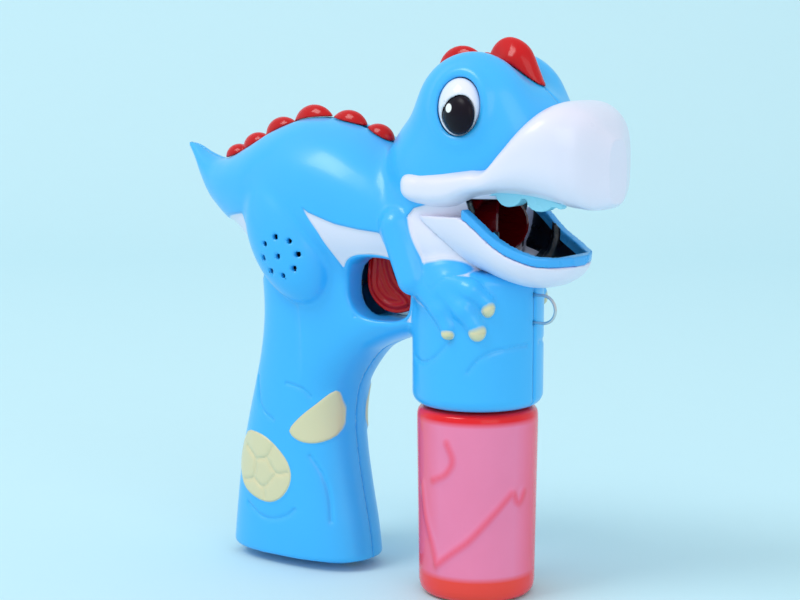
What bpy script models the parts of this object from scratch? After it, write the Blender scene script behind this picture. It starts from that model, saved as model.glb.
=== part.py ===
"""Dinosaur bubble machine: trigger toy with a screw-in bottle, battery grip, fan and peristaltic pump.

Frame: origin on the bottle's axis at its base, +X towards the mouth, +Y the toy's left, +Z up.
Every length below is in millimetres and is turned into metres when a mesh is made.
"""
import math

import bmesh
import bpy
from mathutils import Euler, Matrix, Vector

MM = 0.001
WALL = 2.2          # shell thickness
GAP = 0.3           # clearance between touching pieces

# ---------------------------------------------------------------- driving forms
# Station tables: position along the form, then low side, high side, half width.
TORSO = [
    (-131.5, 153.6, 155.4, 0.9), (-128, 149.2, 154.2, 3.2), (-122, 141.2, 151.4, 6.8),
    (-115, 134.6, 149.8, 11.2), (-108, 129.8, 151.0, 15), (-98, 125.0, 155.4, 19.5),
    (-85, 119.5, 162, 24), (-72, 113.5, 166, 26.5), (-58, 110, 165.6, 27.5),
    (-45, 109, 162.3, 27), (-34, 110, 156.8, 25.5), (-22, 112, 150, 23), (-8, 115, 145, 19),
]
GRIP = [
    (3, -107, -45, 17.5), (16, -105.5, -46.8, 17.4), (30, -103.6, -49.6, 17.2),
    (44, -101, -52, 17), (56, -98, -53, 16.9), (68, -94.8, -51.4, 16.9), (80, -91.5, -47.5, 17.2),
    (95, -88, -46, 18), (110, -85, -44, 19), (125, -82.5, -42, 20),
]
BRIDGE = [
    (-62, 70, 126, 16.2), (-50, 76.5, 126, 16.6), (-40, 83.5, 126, 16.8),
    (-30, 88, 126, 17), (-20, 90.5, 126, 17.2), (-10, 91, 126, 17.2),
]
MUZZLE = [
    (-18, 143, 147, 15), (-14, 139.8, 150, 22.5), (-6, 138.2, 151, 27), (5, 140.6, 151.8, 28.2),
    (14, 143, 155, 28), (22, 143.4, 165, 27.6), (30, 142.2, 172.5, 27), (38, 140.6, 174.4, 25.6),
    (45, 138.8, 172.6, 22), (50.5, 138.6, 168.5, 16), (54, 140.5, 163, 6),
]
# Lower jaw: x, underside, rim height, half width at the rim.
JAW = [
    (-16, 126, 140, 20), (-8, 120.5, 139.5, 24.5), (2, 117.5, 139.5, 26), (12, 115, 135.5, 25.5),
    (22, 113, 128.6, 23.5), (31, 112.8, 124.5, 19.5), (38, 114.2, 122.6, 14), (43, 116.8, 122.2, 7),
    (45.5, 119.5, 122.1, 2),
]
RIM_LINE = [(-30, 137.8), (4, 138.2), (9, 138.4), (14, 134.8), (21.3, 128.8), (29, 124.8), (37, 122.6), (60, 122)]

SKULL = [((-4, 0, 150), (31, 27, 24)), ((3, 0, 165), (25, 22, 24)), ((14, 0, 160), (22, 24, 22))]
EYE_BULGE = ((6, 16, 170), (13, 12, 14))
NECK = ((-8, 0, 128), (25, 24.5, 22))
THIGH = ((-69.5, 16.5, 124), (16, 13, 26))
THIGH_LEAN = -26
ARM = [((-20, 21, 131.5), 5.6), ((-11, 22.5, 113), 5.2), ((9, 20, 105.5), 6)]
COLLAR_R, COLLAR_LOW, COLLAR_TOP = 23.0, 68.0, 114.5
HOLE_C, HOLE_R, HOLE_POWER = (-31, 107.3), (13.8, 11.3), 2.6

BACK_LOBES = [
    (-107.5, 151.5, 5.0), (-98, 155.8, 6.0), (-86, 161.8, 6.4), (-71.5, 165.8, 7.2),
    (-56, 164.6, 6.8), (-43, 160.5, 5.6),
]
HEAD_LOBES = [(-20, 171.5, 6.0), (-7.5, 183.5, 9.4), (14, 184, 11.6)]
EYE = ((6.2, 22.6, 171.6), (8.4, 6.2, 9.5))
PUPIL = ((7.0, 26.9, 170.4), (5.4, 2.6, 6.6))
EYE_YAW = 12

# ---------------------------------------------------------------- mechanism
AIR_Z = 141.5                      # motor, fan and duct axis
MODULE = 0.6
PINION_TEETH, WHEEL_TEETH, SMALL_TEETH, PUMP_TEETH = 10, 32, 10, 34
WHEEL_Z = AIR_Z - MODULE * (PINION_TEETH + WHEEL_TEETH) / 2
PUMP_Z = WHEEL_Z - MODULE * (SMALL_TEETH + PUMP_TEETH) / 2
ROLLER_ORBIT, ROLLER_R = 6.85, 2.2
HOSE_R, HOSE_ARC_R, HOSE_X = 1.35, 10.5, -71.6

PIVOT = (-37.0, 123.4)             # trigger pin, X and Z
CRANK = 13.5                       # pin to push-rod pin
WIPER_AXIS = (-2.0, 131.0)
WIPER_REACH, WIPER_PARK = 17.2, 42.0
WIPER_TEETH, WIPER_MODULE = 12, 0.5
RING_R = 9.5

CELL_R, CELL_LOW, CELL_H = 7.25, 12.4, 50.5
CELLS = [(-82.5, -7.4), (-82.5, 7.4), (-69.6, 0.0)]
DOOR_PIVOT = (-102.5, 4.2)
DOOR_SCREW_X = -54.0
SCREWS = [(-110, 141.5), (-86, 78), (-57, 34), (-54.5, 82), (-16, 169), (13, 97)]
SPEAKER = (-66.5, 119.5, 8.8)

COLOURS = {
    "blue": ((0.07, 0.48, 0.93, 1), 0.32), "white": ((0.82, 0.82, 0.98, 1), 0.3),
    "red_clear": ((0.72, 0.02, 0.03, 0.75), 0.15), "bottle_pink": ((0.9, 0.12, 0.22, 0.5), 0.1),
    "black": ((0.01, 0.01, 0.015, 1), 0.2), "steel": ((0.6, 0.6, 0.62, 1), 0.3),
    "brass": ((0.7, 0.5, 0.22, 1), 0.3), "cell_green": ((0.05, 0.3, 0.12, 1), 0.4),
    "board": ((0.02, 0.25, 0.1, 1), 0.5), "nylon": ((0.85, 0.83, 0.76, 1), 0.5),
    "hose_clear": ((0.8, 0.85, 0.86, 0.5), 0.3), "rubber": ((0.05, 0.05, 0.05, 1), 0.7),
    "led": ((0.9, 0.92, 0.95, 0.6), 0.1), "grey": ((0.3, 0.31, 0.33, 1), 0.5),
}


# ---------------------------------------------------------------- helpers
def start_clean():
    """Remove whatever the opening scene holds."""
    for thing in list(bpy.data.objects):
        bpy.data.objects.remove(thing)


def new_object(name, verts, faces):
    """A mesh object in the working collection, from millimetre points."""
    mesh = bpy.data.meshes.new(name)
    mesh.from_pydata([Vector(v) * MM for v in verts], [], faces)
    bm = bmesh.new()
    bm.from_mesh(mesh)
    bmesh.ops.recalc_face_normals(bm, faces=bm.faces)
    bm.to_mesh(mesh)
    bm.free()
    thing = bpy.data.objects.new(name, mesh)
    WORK.objects.link(thing)
    return thing


def smooth_rows(table, count):
    """Rows of a station table resampled along a smooth cubic through them."""
    first, last = table[0][0], table[-1][0]
    slopes = []
    for i, row in enumerate(table):
        a, b = table[max(i - 1, 0)], table[min(i + 1, len(table) - 1)]
        slopes.append([(q - p) / (b[0] - a[0]) for p, q in zip(a[1:], b[1:])])
    rows = []
    for k in range(count + 1):
        t = first + (last - first) * k / count
        i = max(j for j in range(len(table) - 1) if table[j][0] <= t + 1e-9)
        h = table[i + 1][0] - table[i][0]
        u = (t - table[i][0]) / h
        w = (2 * u**3 - 3 * u**2 + 1, (u**3 - 2 * u**2 + u) * h,
             3 * u**2 - 2 * u**3, (u**3 - u**2) * h)
        rows.append((t,) + tuple(
            w[0] * table[i][c + 1] + w[1] * slopes[i][c] + w[2] * table[i + 1][c + 1]
            + w[3] * slopes[i + 1][c] for c in range(len(table[0]) - 1)))
    return rows


def oval(half_a, half_b, power, sides):
    """Points of a superellipse round the origin."""
    points = []
    for k in range(sides):
        t = 2 * math.pi * k / sides
        c, s = math.cos(t), math.sin(t)
        points.append((half_a * math.copysign(abs(c) ** (2 / power), c),
                       half_b * math.copysign(abs(s) ** (2 / power), s)))
    return points


def skin(name, rings):
    """A closed loft through rings of equal point counts."""
    n = len(rings[0])
    verts = [p for ring in rings for p in ring]
    faces = [list(range(n)), [(len(rings) - 1) * n + k for k in range(n)]]
    for r in range(len(rings) - 1):
        for k in range(n):
            m = (k + 1) % n
            faces.append([r * n + k, r * n + m, (r + 1) * n + m, (r + 1) * n + k])
    return new_object(name, verts, faces)


def loft_x(name, table, power, inset=0.0, count=24, sides=28):
    """Loft along X from rows of x, low, high, half width."""
    rings = []
    for x, low, high, half in smooth_rows(table, count):
        h, w = max((high - low) / 2 - inset, 0.5), max(half - inset, 0.5)
        rings.append([(x, y, (low + high) / 2 + z) for y, z in oval(w, h, power, sides)])
    return skin(name, rings)


def loft_z(name, table, power, inset=0.0, count=20, sides=28):
    """Loft along Z from rows of z, rear x, front x, half width."""
    rings = []
    for z, rear, front, half in smooth_rows(table, count):
        a, w = (front - rear) / 2 - inset, half - inset
        rings.append([((rear + front) / 2 + x, y, z) for x, y in oval(a, w, power, sides)])
    return skin(name, rings)


def jaw_loft(name, inset):
    """The lower jaw as a full loft whose widest line is the rim."""
    rings = []
    for x, low, rim, half in smooth_rows(JAW, 11):
        h, w = max(rim - low - inset, 0.6), max(half - inset, 0.6)
        rings.append([(x - inset * 0.5 * (x > 30), y, rim + z) for y, z in oval(w, h, 2.4, 20)])
    return skin(name, rings)


def box(name, low, high):
    """An axis-aligned block."""
    (a, b, c), (d, e, f) = low, high
    verts = [(a, b, c), (d, b, c), (d, e, c), (a, e, c), (a, b, f), (d, b, f), (d, e, f), (a, e, f)]
    faces = [(0, 3, 2, 1), (4, 5, 6, 7), (0, 1, 5, 4), (1, 2, 6, 5), (2, 3, 7, 6), (3, 0, 4, 7)]
    return new_object(name, verts, faces)


def rod_between(name, start, end, r, sides=16, r_end=None):
    """A round bar or cone between two points."""
    a, b = Vector(start), Vector(end)
    turn = (b - a).to_track_quat("Z", "Y")
    rings = []
    for point, radius in ((a, r), (b, r if r_end is None else r_end)):
        rings.append([tuple(point + turn @ Vector((radius * math.cos(2 * math.pi * k / sides),
                                                   radius * math.sin(2 * math.pi * k / sides), 0)))
                      for k in range(sides)])
    return skin(name, rings)


def ball(name, centre, radii, inset=0.0, lean=0.0, yaw=0.0, segments=28, rings=16):
    """An ellipsoid; lean turns it about Y and yaw about Z, in degrees."""
    mesh = bpy.data.meshes.new(name)
    bm = bmesh.new()
    bmesh.ops.create_uvsphere(bm, u_segments=segments, v_segments=rings, radius=1.0)
    size = Matrix.Diagonal([(r - inset) * MM for r in radii] + [1])
    turn = Euler((0, math.radians(lean), math.radians(yaw))).to_matrix().to_4x4()
    bmesh.ops.transform(bm, matrix=Matrix.Translation(Vector(centre) * MM) @ turn @ size, verts=bm.verts)
    bm.to_mesh(mesh)
    bm.free()
    thing = bpy.data.objects.new(name, mesh)
    WORK.objects.link(thing)
    return thing


def prism_y(name, outline, y0, y1):
    """An outline in X and Z drawn out along Y."""
    return skin(name, [[(x, y, z) for x, z in outline] for y in (y0, y1)])


def prism_x(name, outline, x0, x1):
    """An outline in Y and Z drawn out along X."""
    return skin(name, [[(x, y, z) for y, z in outline] for x in (x0, x1)])


def prism_z(name, outline, z0, z1):
    """An outline in X and Y drawn out along Z."""
    return skin(name, [[(x, y, z) for x, y in outline] for z in (z0, z1)])


def turned(name, profile, steps=40, axis="Z", centre=(0, 0, 0)):
    """A closed (radius, height) profile turned round an axis by a Screw modifier."""
    mesh = bpy.data.meshes.new(name)
    n = len(profile)
    open_ends = profile[0][0] == 0
    edges = [(k, k + 1) for k in range(n - 1)] + ([] if open_ends else [(n - 1, 0)])
    mesh.from_pydata([(r * MM, 0, h * MM) for r, h in profile], edges, [])
    thing = bpy.data.objects.new(name, mesh)
    WORK.objects.link(thing)
    screw = thing.modifiers.new("Turn", "SCREW")
    screw.steps = screw.render_steps = steps
    screw.use_merge_vertices = True
    screw.merge_threshold = 1e-5
    settle(thing)
    bm = bmesh.new()
    bm.from_mesh(thing.data)
    bmesh.ops.remove_doubles(bm, verts=bm.verts, dist=1e-6)
    bmesh.ops.dissolve_degenerate(bm, edges=bm.edges, dist=1e-7)
    turn = {"Z": Matrix(), "X": Matrix.Rotation(math.radians(90), 4, "Y"),
            "Y": Matrix.Rotation(math.radians(-90), 4, "X")}[axis]
    bmesh.ops.transform(bm, matrix=Matrix.Translation(Vector(centre) * MM) @ turn, verts=bm.verts)
    bmesh.ops.recalc_face_normals(bm, faces=bm.faces)
    bm.to_mesh(thing.data)
    bm.free()
    return thing


def wire(name, points, r, resolution=2):
    """A round wire along a path, as a closed mesh."""
    curve = bpy.data.curves.new(name, "CURVE")
    curve.dimensions = "3D"
    curve.bevel_depth = r * MM
    curve.bevel_resolution = resolution
    curve.use_fill_caps = True
    spline = curve.splines.new("POLY")
    spline.points.add(len(points) - 1)
    for slot, point in zip(spline.points, points):
        slot.co = (*(Vector(point) * MM), 1)
    drawn = bpy.data.objects.new(name + "_path", curve)
    WORK.objects.link(drawn)
    graph = bpy.context.evaluated_depsgraph_get()
    mesh = bpy.data.meshes.new_from_object(drawn.evaluated_get(graph))
    bm = bmesh.new()
    bm.from_mesh(mesh)
    bmesh.ops.remove_doubles(bm, verts=bm.verts, dist=1e-6)
    bmesh.ops.recalc_face_normals(bm, faces=bm.faces)
    bm.to_mesh(mesh)
    bm.free()
    bpy.data.objects.remove(drawn)
    thing = bpy.data.objects.new(name, mesh)
    WORK.objects.link(thing)
    return thing


def curve_through(points, per_span=6):
    """Points on a Catmull-Rom curve through the given ones."""
    pts = [Vector(p) for p in points]
    pts = [2 * pts[0] - pts[1]] + pts + [2 * pts[-1] - pts[-2]]
    out = []
    for i in range(1, len(pts) - 2):
        p0, p1, p2, p3 = pts[i - 1:i + 3]
        for k in range(per_span):
            t = k / per_span
            out.append(0.5 * (2 * p1 + (p2 - p0) * t + (2 * p0 - 5 * p1 + 4 * p2 - p3) * t * t
                              + (3 * p1 - p0 - 3 * p2 + p3) * t**3))
    return out + [pts[-2]]


def settle(thing):
    """Apply an object's modifiers to its mesh."""
    graph = bpy.context.evaluated_depsgraph_get()
    mesh = bpy.data.meshes.new_from_object(thing.evaluated_get(graph))
    thing.modifiers.clear()
    thing.data = mesh
    return thing


def combine(thing, others, operation):
    """Exact Boolean of a thing with each of the others in turn."""
    for other in others:
        cut = thing.modifiers.new("Cut", "BOOLEAN")
        cut.object = other
        cut.operation = operation
        cut.solver = "EXACT"
        settle(thing)
    bm = bmesh.new()
    bm.from_mesh(thing.data)
    bmesh.ops.remove_doubles(bm, verts=bm.verts, dist=2e-6)
    bmesh.ops.dissolve_degenerate(bm, edges=bm.edges, dist=1e-6)
    bm.to_mesh(thing.data)
    bm.free()
    return thing


def cut_away(thing, *cutters):
    """Take the cutters out of a thing."""
    return combine(thing, cutters, "DIFFERENCE")


def unite(thing, *others):
    """Weld the others into a thing."""
    return combine(thing, others, "UNION")


def join(name, pieces):
    """One mesh holding copies of several pieces, still overlapping."""
    bm = bmesh.new()
    for piece in pieces:
        bm.from_mesh(piece.data)
    mesh = bpy.data.meshes.new(name)
    bm.to_mesh(mesh)
    bm.free()
    thing = bpy.data.objects.new(name, mesh)
    WORK.objects.link(thing)
    return thing


def blended(name, pieces, voxel, rounds, faces):
    """Overlapping pieces melted into one smooth closed skin of about the given triangle count."""
    thing = join(name, pieces)
    melt = thing.modifiers.new("Melt", "REMESH")
    melt.mode = "VOXEL"
    melt.voxel_size = voxel * MM
    soften = thing.modifiers.new("Soften", "SMOOTH")
    soften.iterations = rounds
    settle(thing)
    thin = thing.modifiers.new("Thin", "DECIMATE")
    thin.ratio = min(1.0, faces / (2.0 * len(thing.data.polygons)))
    settle(thing)
    return thing


def grown(name, thing, amount):
    """A copy with its surface moved out along the normals."""
    mesh = thing.data.copy()
    other = bpy.data.objects.new(name, mesh)
    WORK.objects.link(other)
    swell = other.modifiers.new("Swell", "DISPLACE")
    swell.strength = amount * MM
    swell.mid_level = 0.0
    settle(other)
    return other


def largest_piece(thing):
    """Keep only the biggest closed island of a mesh."""
    bm = bmesh.new()
    bm.from_mesh(thing.data)
    left = set(bm.faces)
    islands = []
    while left:
        stack = [left.pop()]
        island = list(stack)
        while stack:
            for edge in stack.pop().edges:
                for face in edge.link_faces:
                    if face in left:
                        left.remove(face)
                        stack.append(face)
                        island.append(face)
        islands.append(island)
    islands.sort(key=lambda faces: sum(f.calc_area() for f in faces), reverse=True)
    spare = [f for island in islands[1:] for f in island]
    bmesh.ops.delete(bm, geom=spare, context="FACES")
    bm.to_mesh(thing.data)
    bm.free()
    return thing


def tidy_faces(thing):
    """Split every face into triangles and drop the ones with no area."""
    bm = bmesh.new()
    bm.from_mesh(thing.data)
    bmesh.ops.triangulate(bm, faces=bm.faces)
    bmesh.ops.dissolve_degenerate(bm, edges=bm.edges, dist=2e-6)
    bmesh.ops.triangulate(bm, faces=bm.faces)
    bm.to_mesh(thing.data)
    bm.free()
    return thing


def material(name):
    """The Principled material of a colour name."""
    found = bpy.data.materials.get(name)
    if found:
        return found
    colour, rough = COLOURS[name]
    made = bpy.data.materials.new(name)
    made.use_nodes = True
    shader = made.node_tree.nodes["Principled BSDF"]
    shader.inputs["Base Color"].default_value = (*colour[:3], 1)
    shader.inputs["Roughness"].default_value = rough
    shader.inputs["Alpha"].default_value = colour[3]
    made.diffuse_color = colour
    return made


def keep(thing, name, colour, axis_point=None, sharp=False):
    """Name a finished piece, colour it and file it with the product."""
    thing.name = name
    thing.data.name = name
    thing.data.materials.clear()
    thing.data.materials.append(material(colour))
    WORK.objects.unlink(thing)
    PRODUCT.objects.link(thing)
    if sharp:
        thing.data.shade_flat()
    else:
        thing.data.shade_smooth()
    if axis_point:
        point = Vector(axis_point) * MM
        thing.data.transform(Matrix.Translation(-point))
        thing.location = point
    KEPT.append(name)
    return thing


def gear_outline(teeth, module, backlash=0.12, phase=90.0):
    """Involute outline with one tooth centred on the phase angle, in degrees."""
    pitch, tip, root = teeth * module / 2, teeth * module / 2 + module, teeth * module / 2 - 1.25 * module
    base = pitch * math.cos(math.radians(20))
    half_at_pitch = math.pi / (2 * teeth) - backlash / (2 * pitch)

    def half_angle(radius):
        def involute(r):
            a = math.acos(min(1.0, base / r))
            return math.tan(a) - a
        return half_at_pitch + involute(pitch) - involute(max(radius, base))

    radii = [root, pitch, tip]
    points = []
    for k in range(teeth):
        middle = math.radians(phase) + 2 * math.pi * k / teeth
        flank = [(r, half_angle(r)) for r in radii]
        for r, half in flank:
            points.append((r * math.cos(middle - half), r * math.sin(middle - half)))
        for r, half in reversed(flank):
            points.append((r * math.cos(middle + half), r * math.sin(middle + half)))
    return points


def shifted(outline, a, b):
    """An outline moved in its own plane."""
    return [(p + a, q + b) for p, q in outline]


def pair(point, side):
    """A left-side point taken to the given side, +1 left or -1 right."""
    return (point[0], point[1] * side, point[2])


# ---------------------------------------------------------------- the dinosaur's skin
def hole_block(name, grow, half_width):
    """The finger hole as a block through the body."""
    outline = oval(HOLE_R[0] + grow, HOLE_R[1] + grow, HOLE_POWER, 36)
    return prism_y(name, shifted(outline, *HOLE_C), -half_width, half_width)


def body_forms(inset):
    """The overlapping masses of the body, each drawn in by the inset."""
    forms = [
        loft_x("torso", TORSO if inset == 0 else TORSO[2:], 2.1, inset),
        loft_z("grip", GRIP, 2.5, inset),
        loft_x("bridge", BRIDGE, 3.0, inset, count=10),
        ball("neck", *NECK, inset=inset),
    ]
    forms += [ball("skull", centre, radii, inset) for centre, radii in SKULL]
    for side in (-1, 1):
        forms.append(ball("brow", pair(EYE_BULGE[0], side), EYE_BULGE[1], inset))
        forms.append(ball("thigh", pair(THIGH[0], side), THIGH[1], inset, lean=THIGH_LEAN))
    return forms


def arm_forms(side):
    """One arm lying on the collar."""
    forms = [ball("joint", pair(p, side), (r, r, r), segments=16, rings=10) for p, r in ARM]
    for (p, r), (q, s) in zip(ARM, ARM[1:]):
        forms.append(rod_between("arm", pair(p, side), pair(q, side), r, 16, s))
    return forms


def rounded_collar(name, inset, low, high):
    """The round bottle collar with a soft lower edge."""
    r = COLLAR_R - inset
    profile = [(0, low), (r - 1.6, low), (r - 0.5, low + 0.5), (r, low + 1.8), (r, high), (0, high)]
    return turned(name, profile, 48)


def build_skin():
    """Outer skin and the hollow inside it."""
    solid_forms = body_forms(0) + arm_forms(-1) + arm_forms(1)
    solid_forms.append(rounded_collar("collar", 0, COLLAR_LOW, COLLAR_TOP))
    outer = blended("outer", solid_forms, 1.3, 5, 1750)
    flat = box("flat_base", (-140, -40, -10), (0, 40, 3.2))
    cut_away(outer, flat, hole_block("finger_hole", 0, 60))

    hollow_forms = body_forms(WALL)
    hollow_forms.append(turned("collar_hollow", [(0, 72), (20.8, 72), (20.8, 112), (0, 112)], 48))
    hollow = blended("hollow", hollow_forms, 1.8, 4, 420)
    keep_in = [box("base_floor", (-140, -40, -10), (0, 40, 5.6)), hole_block("hole_wall", WALL, 60)]
    posts = [rod_between("post", (x, -60, z), (x, 60, z), 3.6, 8) for x, z in SCREWS]
    ledge = turned("ledge", [(15, 85.2), (26, 85.2), (26, 87.2), (15, 87.2)], 16)
    shelf = box("cell_shelf", (-110, -30, 64.4), (-40, 30, 66.4))
    wires = rod_between("wire_way", (-78, 9, 60), (-78, 9, 70), 2.5)
    cut_away(shelf, wires)
    boss = rod_between("door_boss", (DOOR_SCREW_X, 0, 6.0), (DOOR_SCREW_X, 0, 14.0), 3.8, 14)
    boss_web = box("boss_web", (DOOR_SCREW_X, -1.2, 6.0), (-40, 1.2, 14.0))
    cut_away(hollow, *keep_in, *posts, ledge, shelf, boss, boss_web)
    return outer, hollow


def build_shells(outer, hollow, sockets):
    """The two half shells, with screw bores, mouth, door opening, trigger slot and speaker holes."""
    cuts = [
        hollow,
        turned("collar_mouth", [(0, 60), (20.8, 60), (20.8, 85.2), (0, 85.2)], 40),
        box("mouth_gap", (8.7, -24.5, 117.5), (60, 24.5, 141.2)),
        prism_z("door_way", shifted(oval(27.7, 14.0, 3.4, 40), -76.5, 0), -1, 8),
        box("barrel_room", (-104.4, -9.6, -1), (-100, 9.6, 5.7)),
        box("wiper_room", (-6, -15.6, 120.4), (9, 15.6, 146)),
        box("rod_room", (-8, 15, 132.6), (5.5, 18.3, 138.2)),
        box("slot_rear", (-50.0, -7.2, 96.0), (-36.0, 7.2, 119.0)),
        box("slot_top", (-46.5, -7.2, 116.0), (-28.0, 7.2, 123.0)),
        rod_between("boss_bore", (DOOR_SCREW_X, 0, 4), (DOOR_SCREW_X, 0, 12), 1.9, 14),
        rod_between("loop_bore", (18, 0, 98.2), (26, 0, 98.2), 0.85, 10),
        rod_between("loop_bore", (18, 0, 107.8), (26, 0, 107.8), 0.85, 10),
    ]
    for x, y in CELLS:
        cuts.append(rod_between("cell_well", (x, y, 5.4), (x, y, 64.4), CELL_R + 0.35, 20))
    cx, cz, _ = SPEAKER
    for k in range(9):
        turn = math.radians(45 * k + 12)
        reach = 0 if k == 8 else 6.0
        x, z = cx + reach * math.cos(turn), cz + reach * math.sin(turn)
        cuts.append(rod_between("sound_hole", (x, -40, z), (x, -22, z), 0.9, 6))
    for x, z in SCREWS:
        cuts.append(rod_between("bore", (x, -9.5, z), (x, 7, z), 1.6, 8))
        cuts.append(rod_between("counterbore", (x, 5.7, z), (x, 60, z), 2.8, 12))
    cut_away(outer, *cuts, *sockets)
    halves = []
    for name, y0, y1 in (("body_shell_right", -60, -0.15), ("body_shell_left", 0.15, 60)):
        half = join(name, [outer])
        combine(half, [box("side", (-150, y0, -20), (80, y1, 220))], "INTERSECT")
        largest_piece(half)
        tidy_faces(half)
        halves.append(keep(half, name, "blue"))
    return halves


def build_muzzle(body_cutter):
    """White upper snout: a hollow cover over the front of the skull, with lips along its sides."""
    cover = blended("muzzle", [loft_x("muzzle_form", MUZZLE, 3.0, count=36, sides=36)], 1.0, 3, 800)
    inner_rows = [(x, low + WALL - 6 * (x < 20), high - WALL, half - WALL)
                  for x, low, high, half in MUZZLE if x >= 5]
    inner_rows[-1] = (51.6, 143, 162, 5)
    inside = loft_x("muzzle_inside", inner_rows, 3.0, count=7, sides=16)
    cut_away(cover, body_cutter, inside)
    return keep(tidy_faces(largest_piece(cover)), "muzzle_cover", "white")


def above_rim(name, lift):
    """Everything above the jaw's rim line."""
    outline = [(x, z + lift) for x, z in RIM_LINE] + [(60, 200), (-30, 200)]
    return prism_y(name, outline, -50, 50)


def build_jaw(body_cutter):
    """White chin cover and the blue mouth tray inside it."""
    cover = jaw_loft("jaw", 0)
    cut_away(cover, above_rim("cover_top", -1.2))
    inside = jaw_loft("jaw_inside", 2.2)
    cut_away(cover, inside, body_cutter)
    keep(tidy_faces(largest_piece(cover)), "jaw_cover", "white")

    tray = jaw_loft("tray", 2.5)
    void = jaw_loft("tray_void", 4.7)
    cut_away(tray, above_rim("tray_top", 0.4), box("tray_rear", (-40, -40, 90), (18.4, 40, 160)), void)
    wall_outline = [(-19.5, 117.5), (19.5, 117.5), (19.5, 140.3), (-19.5, 140.3)]
    back_wall = prism_x("back_wall", wall_outline, 18.4, 20.2)
    fence = jaw_loft("fence", 2.5)
    tall = join("tall", [fence, box("tall_box", (17, -19.5, 128), (22, 19.5, 142))])
    tall = blended("tall", [tall], 0.8, 0, 600)
    combine(back_wall, [tall], "INTERSECT")
    unite(tray, back_wall)
    opening = rod_between("ring_window", (10, 0, WIPER_AXIS[1]), (30, 0, WIPER_AXIS[1]), 11.6, 24)
    cut_away(tray, opening)
    keep(tidy_faces(largest_piece(tray)), "mouth_tray", "blue")


def build_teeth():
    """Scalloped upper teeth in a strip inside the lip."""
    path = []
    steps = 30
    for k in range(steps + 1):
        turn = math.pi * (k / steps - 0.5)
        x = 18 + 25 * abs(math.cos(turn)) ** 0.75
        y = 21.2 * math.copysign(abs(math.sin(turn)) ** 0.62, math.sin(turn))
        path.append(Vector((x, y, 0)))
    lows = smooth_rows([row[:2] for row in MUZZLE], 60)
    rings = []
    for k, point in enumerate(path):
        ahead, behind = path[min(k + 1, steps)], path[max(k - 1, 0)]
        side = (ahead - behind).normalized().cross(Vector((0, 0, 1))) * 0.8
        top = min(z for x, z in lows if abs(x - point.x) < 3) - GAP
        depth = 1.2 + 2.6 * abs(math.sin(math.pi * k / 3.75))
        a, b = point + side, point - side
        rings.append([(a.x, a.y, top), (b.x, b.y, top), (b.x, b.y, top - depth), (a.x, a.y, top - depth)])
    keep(skin("teeth", rings), "upper_teeth", "white", sharp=True)


def lobe(name, x, z, r, half_width):
    """One flat rounded spine of a crest."""
    return ball(name, (x, 0, z), (r, half_width, r), segments=20, rings=12)


def tongued(crest, name, ridge, depth, body_cutter):
    """Seat a crest on the skin with a thin tongue below it, and return the tongue's slot."""
    cut_away(crest, body_cutter)
    outline = ridge + [(x, z - depth) for x, z in reversed(ridge)]
    unite(crest, prism_y("tongue", outline, -1.0, 1.0))
    keep(tidy_faces(crest), name, "red_clear")
    first, last = ridge[0], ridge[-1]
    wide = [(first[0] - GAP, first[1])] + ridge[1:-1] + [(last[0] + GAP, last[1])]
    slot = [(x, z + 6) for x, z in wide] + [(x, z - depth - GAP) for x, z in reversed(wide)]
    return prism_y("slot", slot, -1.0 - GAP, 1.0 + GAP)


def build_crests(body_cutter):
    """Clear red spines along the back and on the head; returns the slots they sit in."""
    made = []
    back = [lobe("spine", x, z, r, 3.4) for x, z, r in BACK_LOBES]
    strip = [(x, 0, z - 2.0) for x, z, _ in BACK_LOBES]
    back += [rod_between("strip", a, b, 2.6, 12) for a, b in zip(strip, strip[1:])]
    crest = blended("back_crest_form", back, 0.7, 2, 480)
    ridge = [(x, z + 1.4) for x, z, _ in BACK_LOBES]
    made.append(tongued(crest, "back_crest", ridge, 6.4, body_cutter))
    head = [lobe("spine", x, z, r, 3.6) for x, z, r in HEAD_LOBES]
    strip = [(-20, 0, 172.5), (-8, 0, 182.0), (3, 0, 186.0), (14, 0, 184.0)]
    head += [rod_between("strip", a, b, 2.8, 12) for a, b in zip(strip, strip[1:])]
    crest = blended("head_crest_form", head, 0.7, 2, 420)
    ridge = [(-20, 175.6), (-8, 187.6), (3, 190.2), (15, 187.4)]
    made.append(tongued(crest, "head_crest", ridge, 6.4, body_cutter))
    return made


def build_eyes():
    """Eyes with inset pupils, one pair each side."""
    sockets = []
    for side, name in ((-1, "right"), (1, "left")):
        yaw = -EYE_YAW * side
        eye = ball("eye", pair(EYE[0], side), EYE[1], yaw=yaw, segments=14, rings=9)
        sockets.append(ball("eye_socket", pair(EYE[0], side), EYE[1], -GAP, yaw=yaw, segments=14, rings=8))
        sockets.append(ball("pupil_room", pair(PUPIL[0], side), PUPIL[1], -GAP, yaw=yaw, segments=14, rings=8))
        hollow = ball("pupil_socket", pair(PUPIL[0], side), PUPIL[1], -GAP, yaw=yaw, segments=14, rings=8)
        cut_away(eye, hollow)
        keep(tidy_faces(largest_piece(eye)), name + "_eye", "white")
        pupil = ball("pupil", pair(PUPIL[0], side), PUPIL[1], yaw=yaw, segments=14, rings=8)
        keep(pupil, name + "_pupil", "black")
    return sockets


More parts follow.
